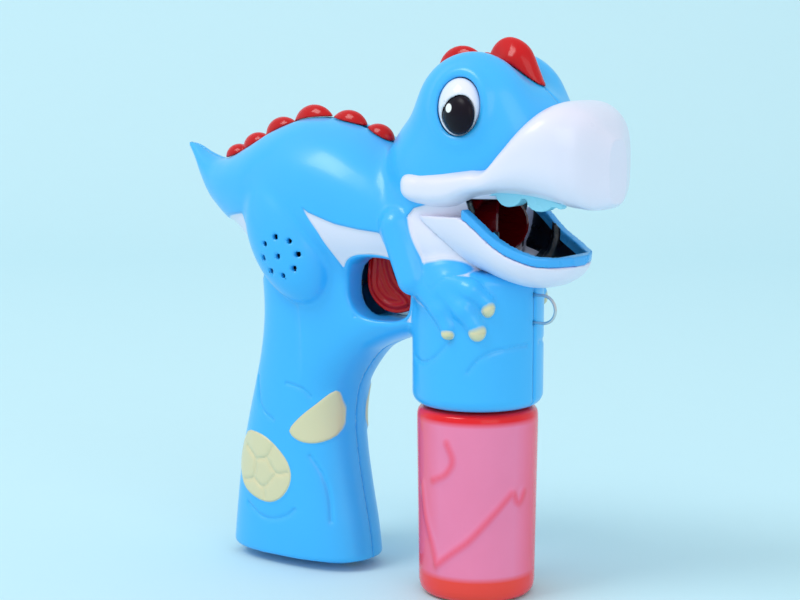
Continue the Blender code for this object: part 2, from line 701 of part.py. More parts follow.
# ---------------------------------------------------------------- trigger and wiper
def build_trigger():
    """Hanging trigger, its pin, spring, switch, push rod and the film wiper."""
    px, pz = PIVOT
    blade_outline = curve_through([
        (-31.5, 122.5, 0), (-30.2, 115, 0), (-29.2, 108, 0), (-30.2, 101.5, 0), (-34, 97.2, 0),
        (-38, 97.4, 0), (-42, 101.5, 0), (-43.6, 108, 0), (-43, 115, 0), (-41.5, 122.5, 0)], 3)
    blade = prism_y("blade", [(p.x, p.y) for p in blade_outline], -6.4, 6.4)
    hub = rod_between("hub", (px, -6.4, pz), (px, 15.3, pz), 2.0, 16)
    arm = prism_y("arm", [(px - 1.6, pz - 0.5), (px + 1.6, pz - 0.5), (px + 1.3, pz + CRANK),
                          (px - 1.3, pz + CRANK)], 13.9, 15.3)
    crank_pin = rod_between("crank_pin", (px, 14, pz + CRANK), (px, 18.3, pz + CRANK), 1.1, 14)
    unite(blade, hub, arm, crank_pin)
    cut_away(blade, rod_between("pin_bore", (px, -8, pz), (px, 13.2, pz), 1.3, 16))
    keep(tidy_faces(blade), "trigger", "red_clear", (px, 0, pz))
    keep(rod_between("pin", (px, -13.5, pz), (px, 12.8, pz), 1.2, 16), "trigger_pin", "steel")

    coil = [(px - 6, -7.4, pz - 2.1)]
    for k in range(28):
        turn = math.radians(-90 + 40 * k)
        coil.append((px + 2.1 * math.cos(turn), -7.4 - 4.2 * k / 27, pz + 2.1 * math.sin(turn)))
    coil.append((px + 6, -11.6, pz - 2.1))
    keep(wire("coil", coil, 0.35), "trigger_spring", "steel")

    switch = box("switch", (-58.5, -3.2, 100), (-53, 3.2, 112))
    unite(switch, box("plunger", (-54, -1, 105.5), (-50.6, 1, 107.5)))
    keep(tidy_faces(switch), "trigger_switch", "black", sharp=True)

    wx, wz = WIPER_AXIS
    pitch = math.pi * WIPER_MODULE
    line = wz + WIPER_TEETH * WIPER_MODULE / 2
    half_tip, half_root = pitch / 4 - 0.25, pitch / 4 + 0.17
    lower = [(-41.5, 133.4), (-33.0, 133.4), (-32.0, line + 0.8), (wx - 7.9, line + 0.8)]
    for k in range(-5, 2):
        centre = wx + pitch * (k + 0.5)
        lower += [(centre - half_root, line + 0.65), (centre - half_tip, line - 0.45),
                  (centre + half_tip, line - 0.45), (centre + half_root, line + 0.65)]
    lower += [(wx + 3.2, line + 0.8), (wx + 3.2, line + 3.2), (-32.5, line + 3.2), (-33.0, 139.8),
              (-35.4, 139.8), (-35.4, 134.9), (-38.6, 134.9), (-38.6, 139.8), (-41.5, 139.8)]
    keep(prism_y("rod", lower, 15.7, 17.8), "push_rod", "nylon", sharp=True)

    park = math.radians(WIPER_PARK)
    bar_x, bar_z = wx + WIPER_REACH * math.cos(park), wz + WIPER_REACH * math.sin(park)
    wiper = rod_between("bar", (bar_x, -14.7, bar_z), (bar_x, 14.7, bar_z), 0.9, 12)
    along = Vector((math.cos(park), math.sin(park)))
    across = Vector((-along.y, along.x)) * 1.3
    start, end = Vector((wx, wz)), Vector((bar_x, bar_z))
    outline = [tuple(start + across * 1.6), tuple(start - across * 1.6), tuple(end - across),
               tuple(end + across)]
    for y0, y1 in ((-14.9, -13.3), (13.3, 14.9)):
        unite(wiper, prism_y("bail", outline, y0, y1),
              rod_between("eye", (wx, y0 - 0.15, wz), (wx, y1 + 0.15, wz), 3.0, 18))
    gear = prism_y("wiper_gear", shifted(gear_outline(WIPER_TEETH, WIPER_MODULE, 0.14, 90), wx, wz),
                   14.6, 17.9)
    unite(wiper, gear)
    cut_away(wiper, rod_between("eye_bore", (wx, 12, wz), (wx, 16.5, wz), 1.5, 16),
             rod_between("eye_bore", (wx, -16, wz), (wx, -12, wz), 1.5, 16))
    keep(tidy_faces(wiper), "wiper", "red_clear", (wx, 0, wz))

    ring = turned("ring", [(RING_R, -5.7), (12.2, -5.7), (12.2, 1.0), (10.8, 1.6), (10.8, 16), (RING_R, 16)],
                  24, "X", (0, 0, wz))
    convex = rod_between("convex", (wx, -30, wz), (wx, 30, wz), 15.9, 40)
    for side in (-1, 1):
        unite(ring, rod_between("trunnion", (wx, 11.6 * side, wz), (wx, 15.4 * side, wz), 1.2, 16))
    combine(ring, [convex], "INTERSECT")
    keep(tidy_faces(ring), "bubble_ring", "red_clear")


# ---------------------------------------------------------------- air, gears and pump
def build_air():
    """Motor, shaft, fan, pinion and the duct to the ring."""
    path = [(-57.2, AIR_Z, 14.2), (-46, AIR_Z, 14.2), (-37, 141, 13.6), (-24, 138.2, 13.0),
            (-13, 133.8, 12.4), (-6.2, 131.2, 12.2)]
    shells = []
    for inset, ends in ((0, 0), (1.3, 1)):
        rings = []
        rows = smooth_rows(path, 9)
        rows[0] = (rows[0][0] - ends, *rows[0][1:])
        rows[-1] = (rows[-1][0] + ends, *rows[-1][1:])
        for x, z, r in rows:
            rings.append([(x, y, z + q) for y, q in oval(r - inset, r - inset, 2, 18)])
        shells.append(skin("duct", rings))
    cut_away(shells[0], shells[1])
    keep(tidy_faces(shells[0]), "air_duct", "grey")

    can = turned("can", [(0, -93), (10, -93), (10, -68), (3, -68), (3, -67.1), (0, -67.1)], 28, "X",
                 (0, 0, AIR_Z))
    combine(can, [box("flats", (-100, -11, AIR_Z - 7.6), (-60, 11, AIR_Z + 7.6))], "INTERSECT")
    keep(tidy_faces(can), "motor", "steel")
    keep(rod_between("shaft", (-66.7, 0, AIR_Z), (-46.4, 0, AIR_Z), 1.0, 12), "motor_shaft", "steel",
         (-57, 0, AIR_Z))
    pinion = prism_x("pinion", shifted(gear_outline(PINION_TEETH, MODULE, 0.12, -90), 0, AIR_Z), -66.2, -62.6)
    cut_away(pinion, rod_between("bore", (-71, 0, AIR_Z), (-60, 0, AIR_Z), 1.25, 12))
    keep(tidy_faces(pinion), "motor_pinion", "brass", (-64, 0, AIR_Z))

    fan = rod_between("fan_hub", (-55.5, 0, AIR_Z), (-47, 0, AIR_Z), 3.6, 18)
    for k in range(6):
        turn = Matrix.Rotation(math.radians(60 * k), 4, "X")
        blade = box("blade", (-3.6, -0.6, 2.6), (3.6, 0.6, 12.2))
        tilt = Matrix.Rotation(math.radians(38), 4, "Z")
        place = Matrix.Translation(Vector((-51.2, 0, AIR_Z)) * MM)
        blade.data.transform(place @ turn @ tilt)
        unite(fan, blade)
    cut_away(fan, rod_between("bore", (-60, 0, AIR_Z), (-44, 0, AIR_Z), 1.25, 12))
    keep(tidy_faces(fan), "fan", "nylon", (-51.2, 0, AIR_Z))

    mount = box("mount", (-66.95, -12, 123.2), (-66.4, 12, 150))
    cut_away(mount, rod_between("boss_hole", (-72, 0, AIR_Z), (-60, 0, AIR_Z), 3.4, 20),
             rod_between("pin_hole", (-72, 0, WHEEL_Z), (-56, 0, WHEEL_Z), 1.25, 12))
    keep(tidy_faces(mount), "gear_plate", "steel", sharp=True)
    keep(rod_between("pin", (-67.6, 0, WHEEL_Z), (-58.2, 0, WHEEL_Z), 1.0, 12), "gear_pin", "steel")

    wheel = prism_x("wheel", shifted(gear_outline(WHEEL_TEETH, MODULE, 0.12, 90 + 180 / WHEEL_TEETH),
                                     0, WHEEL_Z), -65.8, -63.4)
    small = prism_x("small", shifted(gear_outline(SMALL_TEETH, MODULE, 0.12, -90), 0, WHEEL_Z), -64, -59.2)
    unite(wheel, small)
    cut_away(wheel, rod_between("bore", (-72, 0, WHEEL_Z), (-56, 0, WHEEL_Z), 1.25, 12))
    keep(tidy_faces(wheel), "compound_gear", "nylon", (-63, 0, WHEEL_Z))


def build_pump():
    """Peristaltic pump: housing, rotor, rollers, drive gear and hose."""
    gear = prism_x("gear", shifted(gear_outline(PUMP_TEETH, MODULE, 0.12, 90 + 180 / PUMP_TEETH), 0, PUMP_Z),
                   -62.4, -59.8)
    cut_away(gear, rod_between("bore", (-72, 0, PUMP_Z), (-56, 0, PUMP_Z), 1.75, 14))
    keep(tidy_faces(gear), "pump_gear", "nylon", (-61, 0, PUMP_Z))

    rotor = turned("rotor", [(0, -75.8), (8.4, -75.8), (8.4, -74.6), (2.6, -74.6), (2.6, -67.6), (1.5, -67.6),
                             (1.5, -59.2), (0, -59.2)], 24, "X", (0, 0, PUMP_Z))
    for k in range(3):
        turn = math.radians(90 + 120 * k)
        y, z = ROLLER_ORBIT * math.cos(turn), PUMP_Z + ROLLER_ORBIT * math.sin(turn)
        unite(rotor, rod_between("roller_pin", (-75, y, z), (-68.6, y, z), 0.8, 12))
        roller = turned("roller", [(1.0, -74.3), (ROLLER_R, -74.3), (ROLLER_R, -69), (1.0, -69)], 18, "X",
                        (0, y, z))
        keep(roller, "pump_roller_%d" % (k + 1), "nylon", (-71.6, y, z))
    keep(tidy_faces(rotor), "pump_rotor", "grey", (-71.6, 0, PUMP_Z))

    housing = turned("housing", [(0, -77.6), (13.4, -77.6), (13.4, -68.4), (12.1, -68.4), (12.1, -76.1),
                                 (0, -76.1)], 32, "X", (0, 0, PUMP_Z))
    gate = box("hose_gate", (-75.4, -16, PUMP_Z - 11), (-60, -4, PUMP_Z + 11))
    cut_away(housing, gate)
    keep(tidy_faces(housing), "pump_housing", "grey")

    low_end, high_end = math.radians(-140), math.radians(140)
    arc = []
    for k in range(17):
        turn = low_end + (high_end - low_end) * k / 16
        arc.append((HOSE_X, HOSE_ARC_R * math.cos(turn), PUMP_Z + HOSE_ARC_R * math.sin(turn)))
    inlet = curve_through([
        (0, 0, 89.2), (0, -1, 93), (-3, -6, 99), (-7, -11, 108), (-9.5, -14.6, 117), (-16, -15.4, 123.6),
        (-30, -15.5, 124.6), (-44, -15.6, 124.2), (-54, -15.2, 116), (-60, -14.4, 107), (-67, -12.8, 104.5),
        (HOSE_X, -9.8, 107.2), arc[0]], 2)
    outlet = curve_through([
        arc[-1], (HOSE_X, -10.4, 124.6), (-69, -13.6, 128.6), (-60, -16.2, 131), (-46, -17.0, 131),
        (-30, -16.6, 130.4), (-14, -16.4, 131), (-7, -16.6, 137), (-1, -13, 143.6), (4, -5, 144.6),
        (6, 0, 143.2)], 2)
    keep(wire("hose", inlet[:-1] + [Vector(p) for p in arc] + outlet[1:], HOSE_R, 1), "pump_hose",
         "hose_clear")


# ---------------------------------------------------------------- bottle, power and small parts
def build_bottle():
    """Bottle, gasket, threaded socket and dip tube."""
    profile = [
        (0, 0), (18.6, 0), (20.0, 0.8), (20.5, 3), (21.4, 60), (20.8, 64), (18.6, 66.4),
        (15, 67.2), (15, 73), (15.7, 74), (15.7, 74.8), (15, 76), (15, 80.1), (13.5, 80.1), (13.5, 66.6), (17.6, 65), (20, 60), (19.1, 3.6), (18, 1.8),
        (0, 1.6)]
    keep(turned("bottle", profile, 28), "bottle", "bottle_pink")
    keep(turned("gasket", [(12.4, 80.4), (14.9, 80.4), (14.9, 82.6), (12.4, 82.6)], 28), "bottle_gasket",
         "rubber")
    socket = [(16.3, 69.6), (20.4, 69.6), (20.4, 84.9), (2.9, 84.9), (2.9, 82.95), (16.3, 82.95)]
    keep(turned("socket", socket, 32), "bottle_socket", "blue")
    keep(turned("tube", [(1.4, 5), (2.3, 5), (2.3, 88.8), (1.4, 88.8)], 14), "dip_tube", "hose_clear")


def build_power():
    """Cells, contacts, hinged door with its screw, board, lights and speaker."""
    for k, (x, y) in enumerate(CELLS):
        top = CELL_LOW + CELL_H
        profile = [(0, CELL_LOW), (CELL_R, CELL_LOW), (CELL_R, top - 1.2), (2.6, top - 1.2), (2.6, top),
                   (0, top)]
        keep(turned("cell", profile, 24, "Z", (x, y, 0)), "battery_cell_%d" % (k + 1), "cell_green")
    plate = box("plate", (-87, -10.5, 63.2), (-76, 10.5, 63.8))
    unite(plate, box("tab", (-77, -5, 63.2), (-64, 5, 63.8)))
    keep(tidy_faces(plate), "battery_contact_upper", "steel", sharp=True)

    px, pz = DOOR_PIVOT
    door = prism_z("door", shifted(oval(26.8, 13.5, 3.4, 40), -76.5, 0), 3.0, 5.3)
    unite(door, rod_between("barrel", (px, -5, pz), (px, 5, pz), 1.3, 16))
    cut_away(door, rod_between("head_recess", (DOOR_SCREW_X, 0, 2), (DOOR_SCREW_X, 0, 4.2), 2.9, 16),
             rod_between("shank_hole", (DOOR_SCREW_X, 0, 2), (DOOR_SCREW_X, 0, 7), 1.6, 14))
    keep(tidy_faces(door), "battery_door", "blue", (px, 0, pz), sharp=True)
    screw = turned("door_screw", [(0, 3.1), (2.5, 3.1), (2.5, 3.9), (1.2, 3.9), (1.2, 9.4), (0, 9.4)], 14, "Z",
                   (DOOR_SCREW_X, 0, 0))
    keep(screw, "battery_door_screw", "brass")
    lower = prism_y("lower", [(-88, 5.6), (-64, 5.6), (-64, 6.1), (-88, 6.1)], -13, 13)
    for x, y in CELLS:
        leaf = prism_y("leaf", [(x - 4, 5.8), (x + 4, 11.2), (x + 4, 11.8), (x - 4.6, 6.0)], y - 2, y + 2)
        unite(lower, leaf)
    keep(tidy_faces(lower), "battery_contact_lower", "steel", sharp=True)

    keep(box("board", (-88.5, -8.5, 152.4), (-64, 8.5, 154)), "circuit_board", "board", sharp=True)
    for name, x, low in (("back_light", -72, 154.4), ("head_light", 0, 174.2)):
        profile = [(0, low), (2.9, low), (2.9, low + 1), (2.5, low + 1), (2.5, low + 3.6), (1.6, low + 5),
                   (0, low + 5.4)]
        keep(turned("light", profile, 16, "Z", (x, 0, 0)), name, "led")
    cx, cz, r = SPEAKER
    cone = [(0, -23.2), (3, -23.2), (8, -21.8), (8, -23.4), (r, -23.4), (r, -21), (6, -19.4), (0, -19.4)]
    keep(turned("speaker", cone, 28, "Y", (cx, 0, cz)), "speaker", "black")


def build_small_parts():
    """Case screws and the cord loop under the chin."""
    for k, (x, z) in enumerate(SCREWS):
        profile = [(0, -8.5), (1.25, -8.5), (1.25, 6.0), (2.4, 6.0), (2.4, 7.6), (0, 7.6)]
        screw = turned("screw", profile, 12, "Y", (x, 0, z))
        keep(screw, "case_screw_%d" % (k + 1), "steel")
    loop = [(19.5, 0, 98.2), (25, 0, 98.2)]
    for k in range(13):
        turn = math.radians(-90 + 15 * k)
        loop.append((26.4 + 4.8 * math.cos(turn), 0, 103 + 4.8 * math.sin(turn)))
    loop += [(25, 0, 107.8), (19.5, 0, 107.8)]
    keep(wire("loop", loop, 0.55), "cord_loop", "steel")


# ---------------------------------------------------------------- build
start_clean()
scene = bpy.context.scene
PRODUCT = bpy.data.collections.new("bubble machine")
WORK = bpy.data.collections.new("cutters")
scene.collection.children.link(PRODUCT)
scene.collection.children.link(WORK)
KEPT = []

skin_outer, skin_hollow = build_skin()
skin_cutter = grown("skin_cutter", skin_outer, GAP)
build_muzzle(skin_cutter)
build_jaw(skin_cutter)
build_teeth()
crest_slots = build_crests(skin_cutter)
eye_sockets = build_eyes()
build_shells(skin_outer, skin_hollow, crest_slots + eye_sockets)
build_trigger()
build_air()
build_pump()
build_bottle()
build_power()
build_small_parts()

for spare in list(WORK.objects):
    bpy.data.objects.remove(spare)
total = 0
for piece in PRODUCT.objects:
    count = sum(len(face.vertices) - 2 for face in piece.data.polygons)
    total += count
    print("%-24s %6d" % (piece.name, count))
print("pieces", len(PRODUCT.objects), "triangles", total)
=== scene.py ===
"""Looks of the dinosaur bubble machine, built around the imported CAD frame.

The smooth moulded pieces are described as distance fields in millimetres (negative inside), meshed on
a fine grid and settled onto the true surface. Frame: origin on the bottle's axis at its base, +X to the
mouth, +Y the toy's left, +Z up.
"""

import math

import bmesh
import bpy
import numpy as np
from mathutils import Matrix, Vector


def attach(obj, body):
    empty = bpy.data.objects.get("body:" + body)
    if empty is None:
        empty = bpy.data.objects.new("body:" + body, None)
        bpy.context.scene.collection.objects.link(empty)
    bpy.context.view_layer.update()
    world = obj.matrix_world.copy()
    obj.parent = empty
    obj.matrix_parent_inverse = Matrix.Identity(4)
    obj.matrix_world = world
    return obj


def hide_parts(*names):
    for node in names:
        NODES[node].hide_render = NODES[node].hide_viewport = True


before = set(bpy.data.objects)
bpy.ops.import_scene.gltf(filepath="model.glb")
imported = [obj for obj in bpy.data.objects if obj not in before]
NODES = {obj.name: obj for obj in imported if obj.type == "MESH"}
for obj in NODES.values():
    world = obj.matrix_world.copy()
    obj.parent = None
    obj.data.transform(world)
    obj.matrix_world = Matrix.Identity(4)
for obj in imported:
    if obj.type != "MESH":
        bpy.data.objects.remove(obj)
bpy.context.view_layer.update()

MM = 0.001
FINE = 0.8      # grid of the large mouldings, mm
SMALL = 0.5      # grid of the small mouldings, mm
BLOCK = 6                          # grid points per block when sampling near a surface
SETTLE_ROUNDS = 3                  # steps that bring a vertex onto its surface
SEAM_REACH = 1.37 * FINE           # how far the grid of each case half passes the middle plane
WALL = 2.2                         # moulding thickness
SPLIT = 0.15                       # half of the gap between the two halves of the case
SIDES = ((-1, "right"), (1, "left"))

# ---------------------------------------------------------------- driving forms
# Station tables: position along the form, then low side, high side, half width.
TORSO = [
    (-132, 153.8, 155.6, 0.8), (-128, 149.0, 154.6, 3.0), (-122, 140.4, 151.6, 6.5),
    (-115, 133.2, 149.6, 11), (-108, 128.0, 150.9, 15), (-98, 121.5, 155.4, 19.5),
    (-85, 115, 162, 24), (-72, 111, 166, 26.5), (-58, 109.5, 165.6, 27.5),
    (-45, 109, 162.3, 27), (-34, 110, 156.8, 25.5), (-22, 112, 150, 23), (-8, 115, 145, 19),
]
GRIP = [
    (3, -107, -45, 17.5), (16, -105.5, -46.8, 17.4), (30, -103.6, -49.6, 17.2),
    (44, -101, -52, 17), (56, -98, -53, 16.9), (68, -94.8, -51.4, 16.9), (80, -92, -47.5, 17.2),
    (95, -90, -46, 18), (110, -91, -44, 19), (125, -96, -42, 20),
]
BRIDGE = [
    (-62, 70, 126, 16.2), (-50, 76.5, 126, 16.6), (-40, 83.5, 126, 16.8),
    (-30, 88, 126, 17), (-20, 90.5, 126, 17.2), (-10, 91, 126, 17.2),
]
MUZZLE = [
    (-20, 143.0, 148.6, 17), (-15.5, 139.6, 150.8, 25.4), (-6, 137.2, 151.8, 28.8), (4, 137.8, 152.4, 29.4),
    (12, 141.6, 152.8, 29.2), (19, 143.2, 153.8, 28.8), (24, 143.0, 160.5, 28.3), (30, 142.2, 168.4, 27.4),
    (35, 141.2, 172.8, 26.4), (39, 140.2, 174.4, 25.2), (45, 138.8, 173.4, 22), (50.5, 138.6, 168.8, 16),
    (54.5, 140.5, 162, 6),
]
MUZZLE_INSIDE = [(x, low + 3, high - 3, half - 3) for x, low, high, half in MUZZLE if 24 <= x < 50]
MUZZLE_INSIDE.append((48.8, 142.6, 165, 13))
TOOTH_LOBES = [(23.4, 143.0), (34.6, 141.8)]
JAW = [
    (-16, 126, 140, 20), (-8, 120.5, 139.5, 24.5), (2, 117.2, 139.5, 26), (12, 114.2, 135.5, 25.5),
    (21, 111.8, 128.6, 24.0), (28.5, 111.0, 124.7, 21.8), (34.5, 112.4, 122.9, 17.6),
    (38.2, 115.0, 122.4, 12.5), (40.6, 118.6, 122.2, 6.0),
]
RIM_LINE = [(-30, 138.6), (4, 138.8), (9, 138.4), (14, 134.8), (21.3, 128.8), (29, 124.8), (37, 122.6),
            (60, 122)]

SKULL = [((-3.5, 0, 150), (29.8, 26.4, 24)), ((4, 0, 163), (25, 22, 24)), ((18, 0, 158), (20, 23, 20))]
BROW = ((5.6, 12.2, 169), (21.9, 13.5, 21.5))
NECK = ((-8, 0, 128), (25, 24.5, 22))
THIGH, THIGH_LEAN = ((-69.5, 17, 124), (16, 13.6, 26)), -26
ARM = [((-19.5, 21.5, 131), 6.3), ((-12, 22.5, 113), 5.6)]
SHOULDER = ((-3, 16.5, 112), (12, 8.5, 10.5))
FINGERS = [
    [((2, 20.5, 112.5), 4.0), ((10, 20, 110.5), 3.4), ((14.2, 17.2, 106.5), 2.8)],
    [((0, 21, 110), 4.4), ((7.6, 21, 104), 3.6), ((11.4, 19.2, 98.4), 3.2)],
    [((-7, 21.5, 110), 4.4), ((-1, 22, 103.5), 3.6), ((2.0, 22, 97.8), 2.9)],
]
CLAWS = [((15.2, 17.6, 104.6), (2.3, 2.3, 3.0)), ((12.4, 19.9, 96.6), (2.9, 2.4, 3.2)),
         ((2.6, 23.1, 95.4), (2.3, 2.1, 2.0))]
COLLAR_R, COLLAR_LOW, COLLAR_TOP, COLLAR_ROUND = 23.0, 68.0, 116.0, 4.2
HOLE_C, HOLE_R, HOLE_POWER = (-31, 107.3), (13.8, 11.3), 2.6
EYE = ((6.9, 22.6, 172.0), (8.3, 6.2, 9.9))
PUPIL = ((8.7, 26.4, 169.9), (6.8, 3.2, 6.7))
EYE_YAW = 12
EYE_GAP = 0.35                     # clearance of an eye or pupil in its socket
BACK_LOBES = [
    (-107.5, 150.4, 4.9), (-98, 154.0, 5.9), (-86, 159.2, 6.8), (-71.5, 163.0, 7.8),
    (-56, 162.0, 7.2), (-43, 158.6, 6.0),
]
BACK_RIDGE = [(x, z + 1.4) for x, z, _ in BACK_LOBES]
HEAD_RIDGE = [(-20, 175.6), (-8, 187.6), (3, 190.2), (15, 187.4)]
SPEAKER, SOUND_HOLES, SOUND_HOLE_R = (-65.6, 118.0, 7.0), 8, 1.05
SCREWS = [(-110, 141.5), (-86, 78), (-57, 34), (-54.5, 82), (-16, 169), (13, 97)]
SCREW_BORE_R, SCREW_HEAD_R, SCREW_POST_R = 1.6, 2.8, 3.6
CELLS, CELL_WELL_R = [(-82.5, -7.4), (-82.5, 7.4), (-69.6, 0.0)], 7.6
DOOR_SCREW_X = -54.0
DOOR_MIDDLE, DOOR_R, DOOR_POWER = -76.5, (27.7, 14.0), 3.4
SOCKET_R, CAP_R = 16.7, 20.8       # bores of the collar, for the bottle's neck and for its socket
MOUTH = ((8.7, -24.5, 117.5), (60, 24.5, 141.2))
POCKETS = [                        # boxes cleared inside the case
    ((-104.4, -9.6, -1), (-100, 9.6, 5.7)),          # the door's hinge barrels
    ((-6, -15.6, 120.4), (9, 15.6, 146)),            # the wiper's swing
    ((-8, 15, 132.6), (5.5, 18.3, 138.2)),           # the push rod
    ((-50, -7.4, 96), (-36, 7.4, 119)),              # the back of the trigger's slot
    ((-46.5, -7.4, 116), (-28, 7.4, 123)),           # the top of the trigger's slot
]
CORD_LEGS, CORD_R = (98.2, 107.8), 0.85
PIVOT, CRANK = (-37.0, 123.4), 13.5
WIPER_AXIS_Z = 131.0
BOTTLE_SIDES = 192
LIQUID_LEVEL, POOL_HEIGHT, BAND_HEIGHT = 8.6, 8.8, 63.5   # liquid; the red foot and shoulder of the bottle

# Lines and patches of the painted and engraved decoration, X and Z on the toy's side.
REAR_EDGE = [(99, -96), (104, -89), (108.5, -84.5), (120, -86), (131, -88.5), (140, -86)]
SADDLE_EDGE = [(-140, 150), (-66, 142), (-60, 137.6), (-54.1, 134), (-43.1, 130.5), (-34, 129),
               (-25.8, 128.2), (-19, 129), (-15.5, 133), (-11.5, 137.5), (-6, 139), (10, 146)]
LEG_FRONT = [(-62, 145), (-57.5, 137), (-51, 127.5), (-47.5, 120), (-44.5, 112.4), (-42, 104)]
TEARDROP = [(-54.2, 67.8), (-53.3, 63.7), (-53.2, 57.6), (-54.8, 50.9), (-60.6, 48.1), (-67.1, 48.5),
            (-71.2, 51.8), (-67.0, 57.1), (-60.5, 62.6)]
EGG = [(-94, 48.4), (-84.5, 48.9), (-77.3, 45.2), (-71.9, 39.7), (-70.6, 33.4), (-73.9, 27.2), (-80, 23.8),
       (-88, 24.6), (-95.5, 28.6), (-99, 38)]
CREASES = [
    [(-88.6, 70), (-87.2, 64.3), (-86.2, 60.6), (-83.2, 57.2), (-79, 55)],
    [(-72.5, 69.4), (-68.6, 68.8), (-65.1, 67.7), (-62.4, 65.2)],
    [(-92, 21.5), (-86.1, 18.2), (-80, 17.3), (-73.3, 19.2), (-69.1, 22.4)],
    [(-63, 43), (-58.5, 36), (-56, 28), (-55, 19)],
    [(-93, 43), (-88, 39), (-89, 32), (-94, 30)], [(-88, 39), (-82, 40.5), (-79, 45)],
    [(-82, 40.5), (-77.5, 35), (-72, 36)], [(-89, 32), (-83.5, 29), (-77.5, 35)], [(-83.5, 29), (-83, 25)],
]
COLLAR_CREASES = [
    [(-38, 85), (-22, 84.2), (-8, 86.6), (2, 90.4), (9, 94)],
    [(24, 82.5), (33, 86.8), (44, 89.4), (60, 90.6), (80, 91)],
]
# Marks moulded in the bottle: degrees round it from the toy's right side, and height.
SWIRLS = [
    [(3, 57), (9, 51), (2, 46), (-13, 43)], [(-32, 40), (-26, 30), (-16, 21), (-9, 13)],
    [(-9, 13), (8, 18), (25, 23), (45, 31), (66, 39)], [(68, 39), (75, 35.5), (82, 39)],
]
SWIRL_PITCH = 0.37                 # millimetres round the bottle for each degree


# ---------------------------------------------------------------- field arithmetic
def table_at(table, t):
    """Columns of a station table along a smooth cubic through its rows."""
    rows = np.asarray(table, float)
    at, values = rows[:, 0], rows[:, 1:]
    span = np.diff(at)
    slope = np.diff(values, axis=0) / span[:, None]
    knot = np.empty_like(values)
    knot[0], knot[-1] = slope[0], slope[-1]
    share = span[1:, None] / (span[1:, None] + span[:-1, None])
    knot[1:-1] = share * slope[:-1] + (1 - share) * slope[1:]
    t = np.clip(t, at[0], at[-1])
    i = np.clip(np.searchsorted(at, t, side="right") - 1, 0, len(span) - 1)
    h = span[i]
    u = (t - at[i]) / h
    w0, w1 = 2 * u**3 - 3 * u**2 + 1, (u**3 - 2 * u**2 + u) * h
    w2, w3 = 3 * u**2 - 2 * u**3, (u**3 - u**2) * h
    return [w0 * values[i, c] + w1 * knot[i, c] + w2 * values[i + 1, c] + w3 * knot[i + 1, c]
            for c in range(values.shape[1])]


def loft(t, across, up, table, power):
    """Distance to a loft whose sections are superellipses, none thinner than 0.8 mm."""
    low, high, half = table_at(table, t)
    half, tall = np.maximum(half, 0.4), np.maximum((high - low) / 2, 0.4)
    middle = (high + low) / 2
    reach = (np.abs(across / half) ** power + np.abs((up - middle) / tall) ** power) ** (1 / power)
    side = (reach - 1) * np.minimum(half, tall)
    return np.maximum(side, np.maximum(table[0][0] - t, t - table[-1][0]))


def ellipsoid(x, y, z, centre, radii, lean=0.0, yaw=0.0):
    """Distance to an ellipsoid turned about Y by lean and about Z by yaw, in degrees."""
    x, y, z = x - centre[0], y - centre[1], z - centre[2]
    if yaw:
        c, s = math.cos(math.radians(yaw)), math.sin(math.radians(yaw))
        x, y = x * c + y * s, -x * s + y * c
    if lean:
        c, s = math.cos(math.radians(lean)), math.sin(math.radians(lean))
        x, z = x * c - z * s, x * s + z * c
    reach = np.sqrt((x / radii[0]) ** 2 + (y / radii[1]) ** 2 + (z / radii[2]) ** 2)
    return (reach - 1) * min(radii)


def capsule(x, y, z, start, end, r_start, r_end):
    """Distance to a round bar with rounded ends, tapering between two radii."""
    d = [end[k] - start[k] for k in range(3)]
    t = ((x - start[0]) * d[0] + (y - start[1]) * d[1] + (z - start[2]) * d[2]) / sum(v * v for v in d)
    t = np.clip(t, 0, 1)
    away = np.sqrt((x - start[0] - t * d[0]) ** 2 + (y - start[1] - t * d[1]) ** 2
                   + (z - start[2] - t * d[2]) ** 2)
    return away - (r_start + (r_end - r_start) * t)


def cylinder(p, q, along, centre, r, low, high):
    """Distance to a flat-ended cylinder, given the two coordinates across it and the one along it."""
    return np.maximum(np.hypot(p - centre[0], q - centre[1]) - r, np.maximum(low - along, along - high))


def block(x, y, z, low, high, r=0.0):
    """Distance to a box with edges rounded by r."""
    q = [np.abs(v - (a + b) / 2) - (b - a) / 2 + r for v, a, b in zip((x, y, z), low, high)]
    outside = np.sqrt(sum(np.maximum(v, 0) ** 2 for v in q))
    return outside + np.minimum(np.maximum(np.maximum(q[0], q[1]), q[2]), 0) - r


def join(a, b, k):
    """Union with a fillet of about k."""
    h = np.maximum(k - np.abs(a - b), 0) / k
    return np.minimum(a, b) - h * h * k / 4


def cut(a, b, k):
    """a without b, the edge rounded by about k."""
    return -join(-a, b, k)


def ramp(v, width):
    """0 to 1, smoothly, as v passes through zero over a width."""
    u = np.clip(v / width + 0.5, 0, 1)
    return u * u * (3 - 2 * u)


def spline_2d(points, per_span, closed):
    """A denser line along a Catmull-Rom curve through the points."""
    pts = [np.array(p, float) for p in points]
    if closed:
        ring = [pts[-1]] + pts + pts[:2]
    else:
        ring = [2 * pts[0] - pts[1]] + pts + [2 * pts[-1] - pts[-2]]
    out = []
    for i in range(1, len(ring) - 2):
        p0, p1, p2, p3 = ring[i - 1:i + 3]
        for k in range(per_span):
            t = k / per_span
            out.append(0.5 * (2 * p1 + (p2 - p0) * t + (2 * p0 - 5 * p1 + 4 * p2 - p3) * t * t
                              + (3 * p1 - p0 - 3 * p2 + p3) * t**3))
    if not closed:
        out.append(pts[-1])
    return out


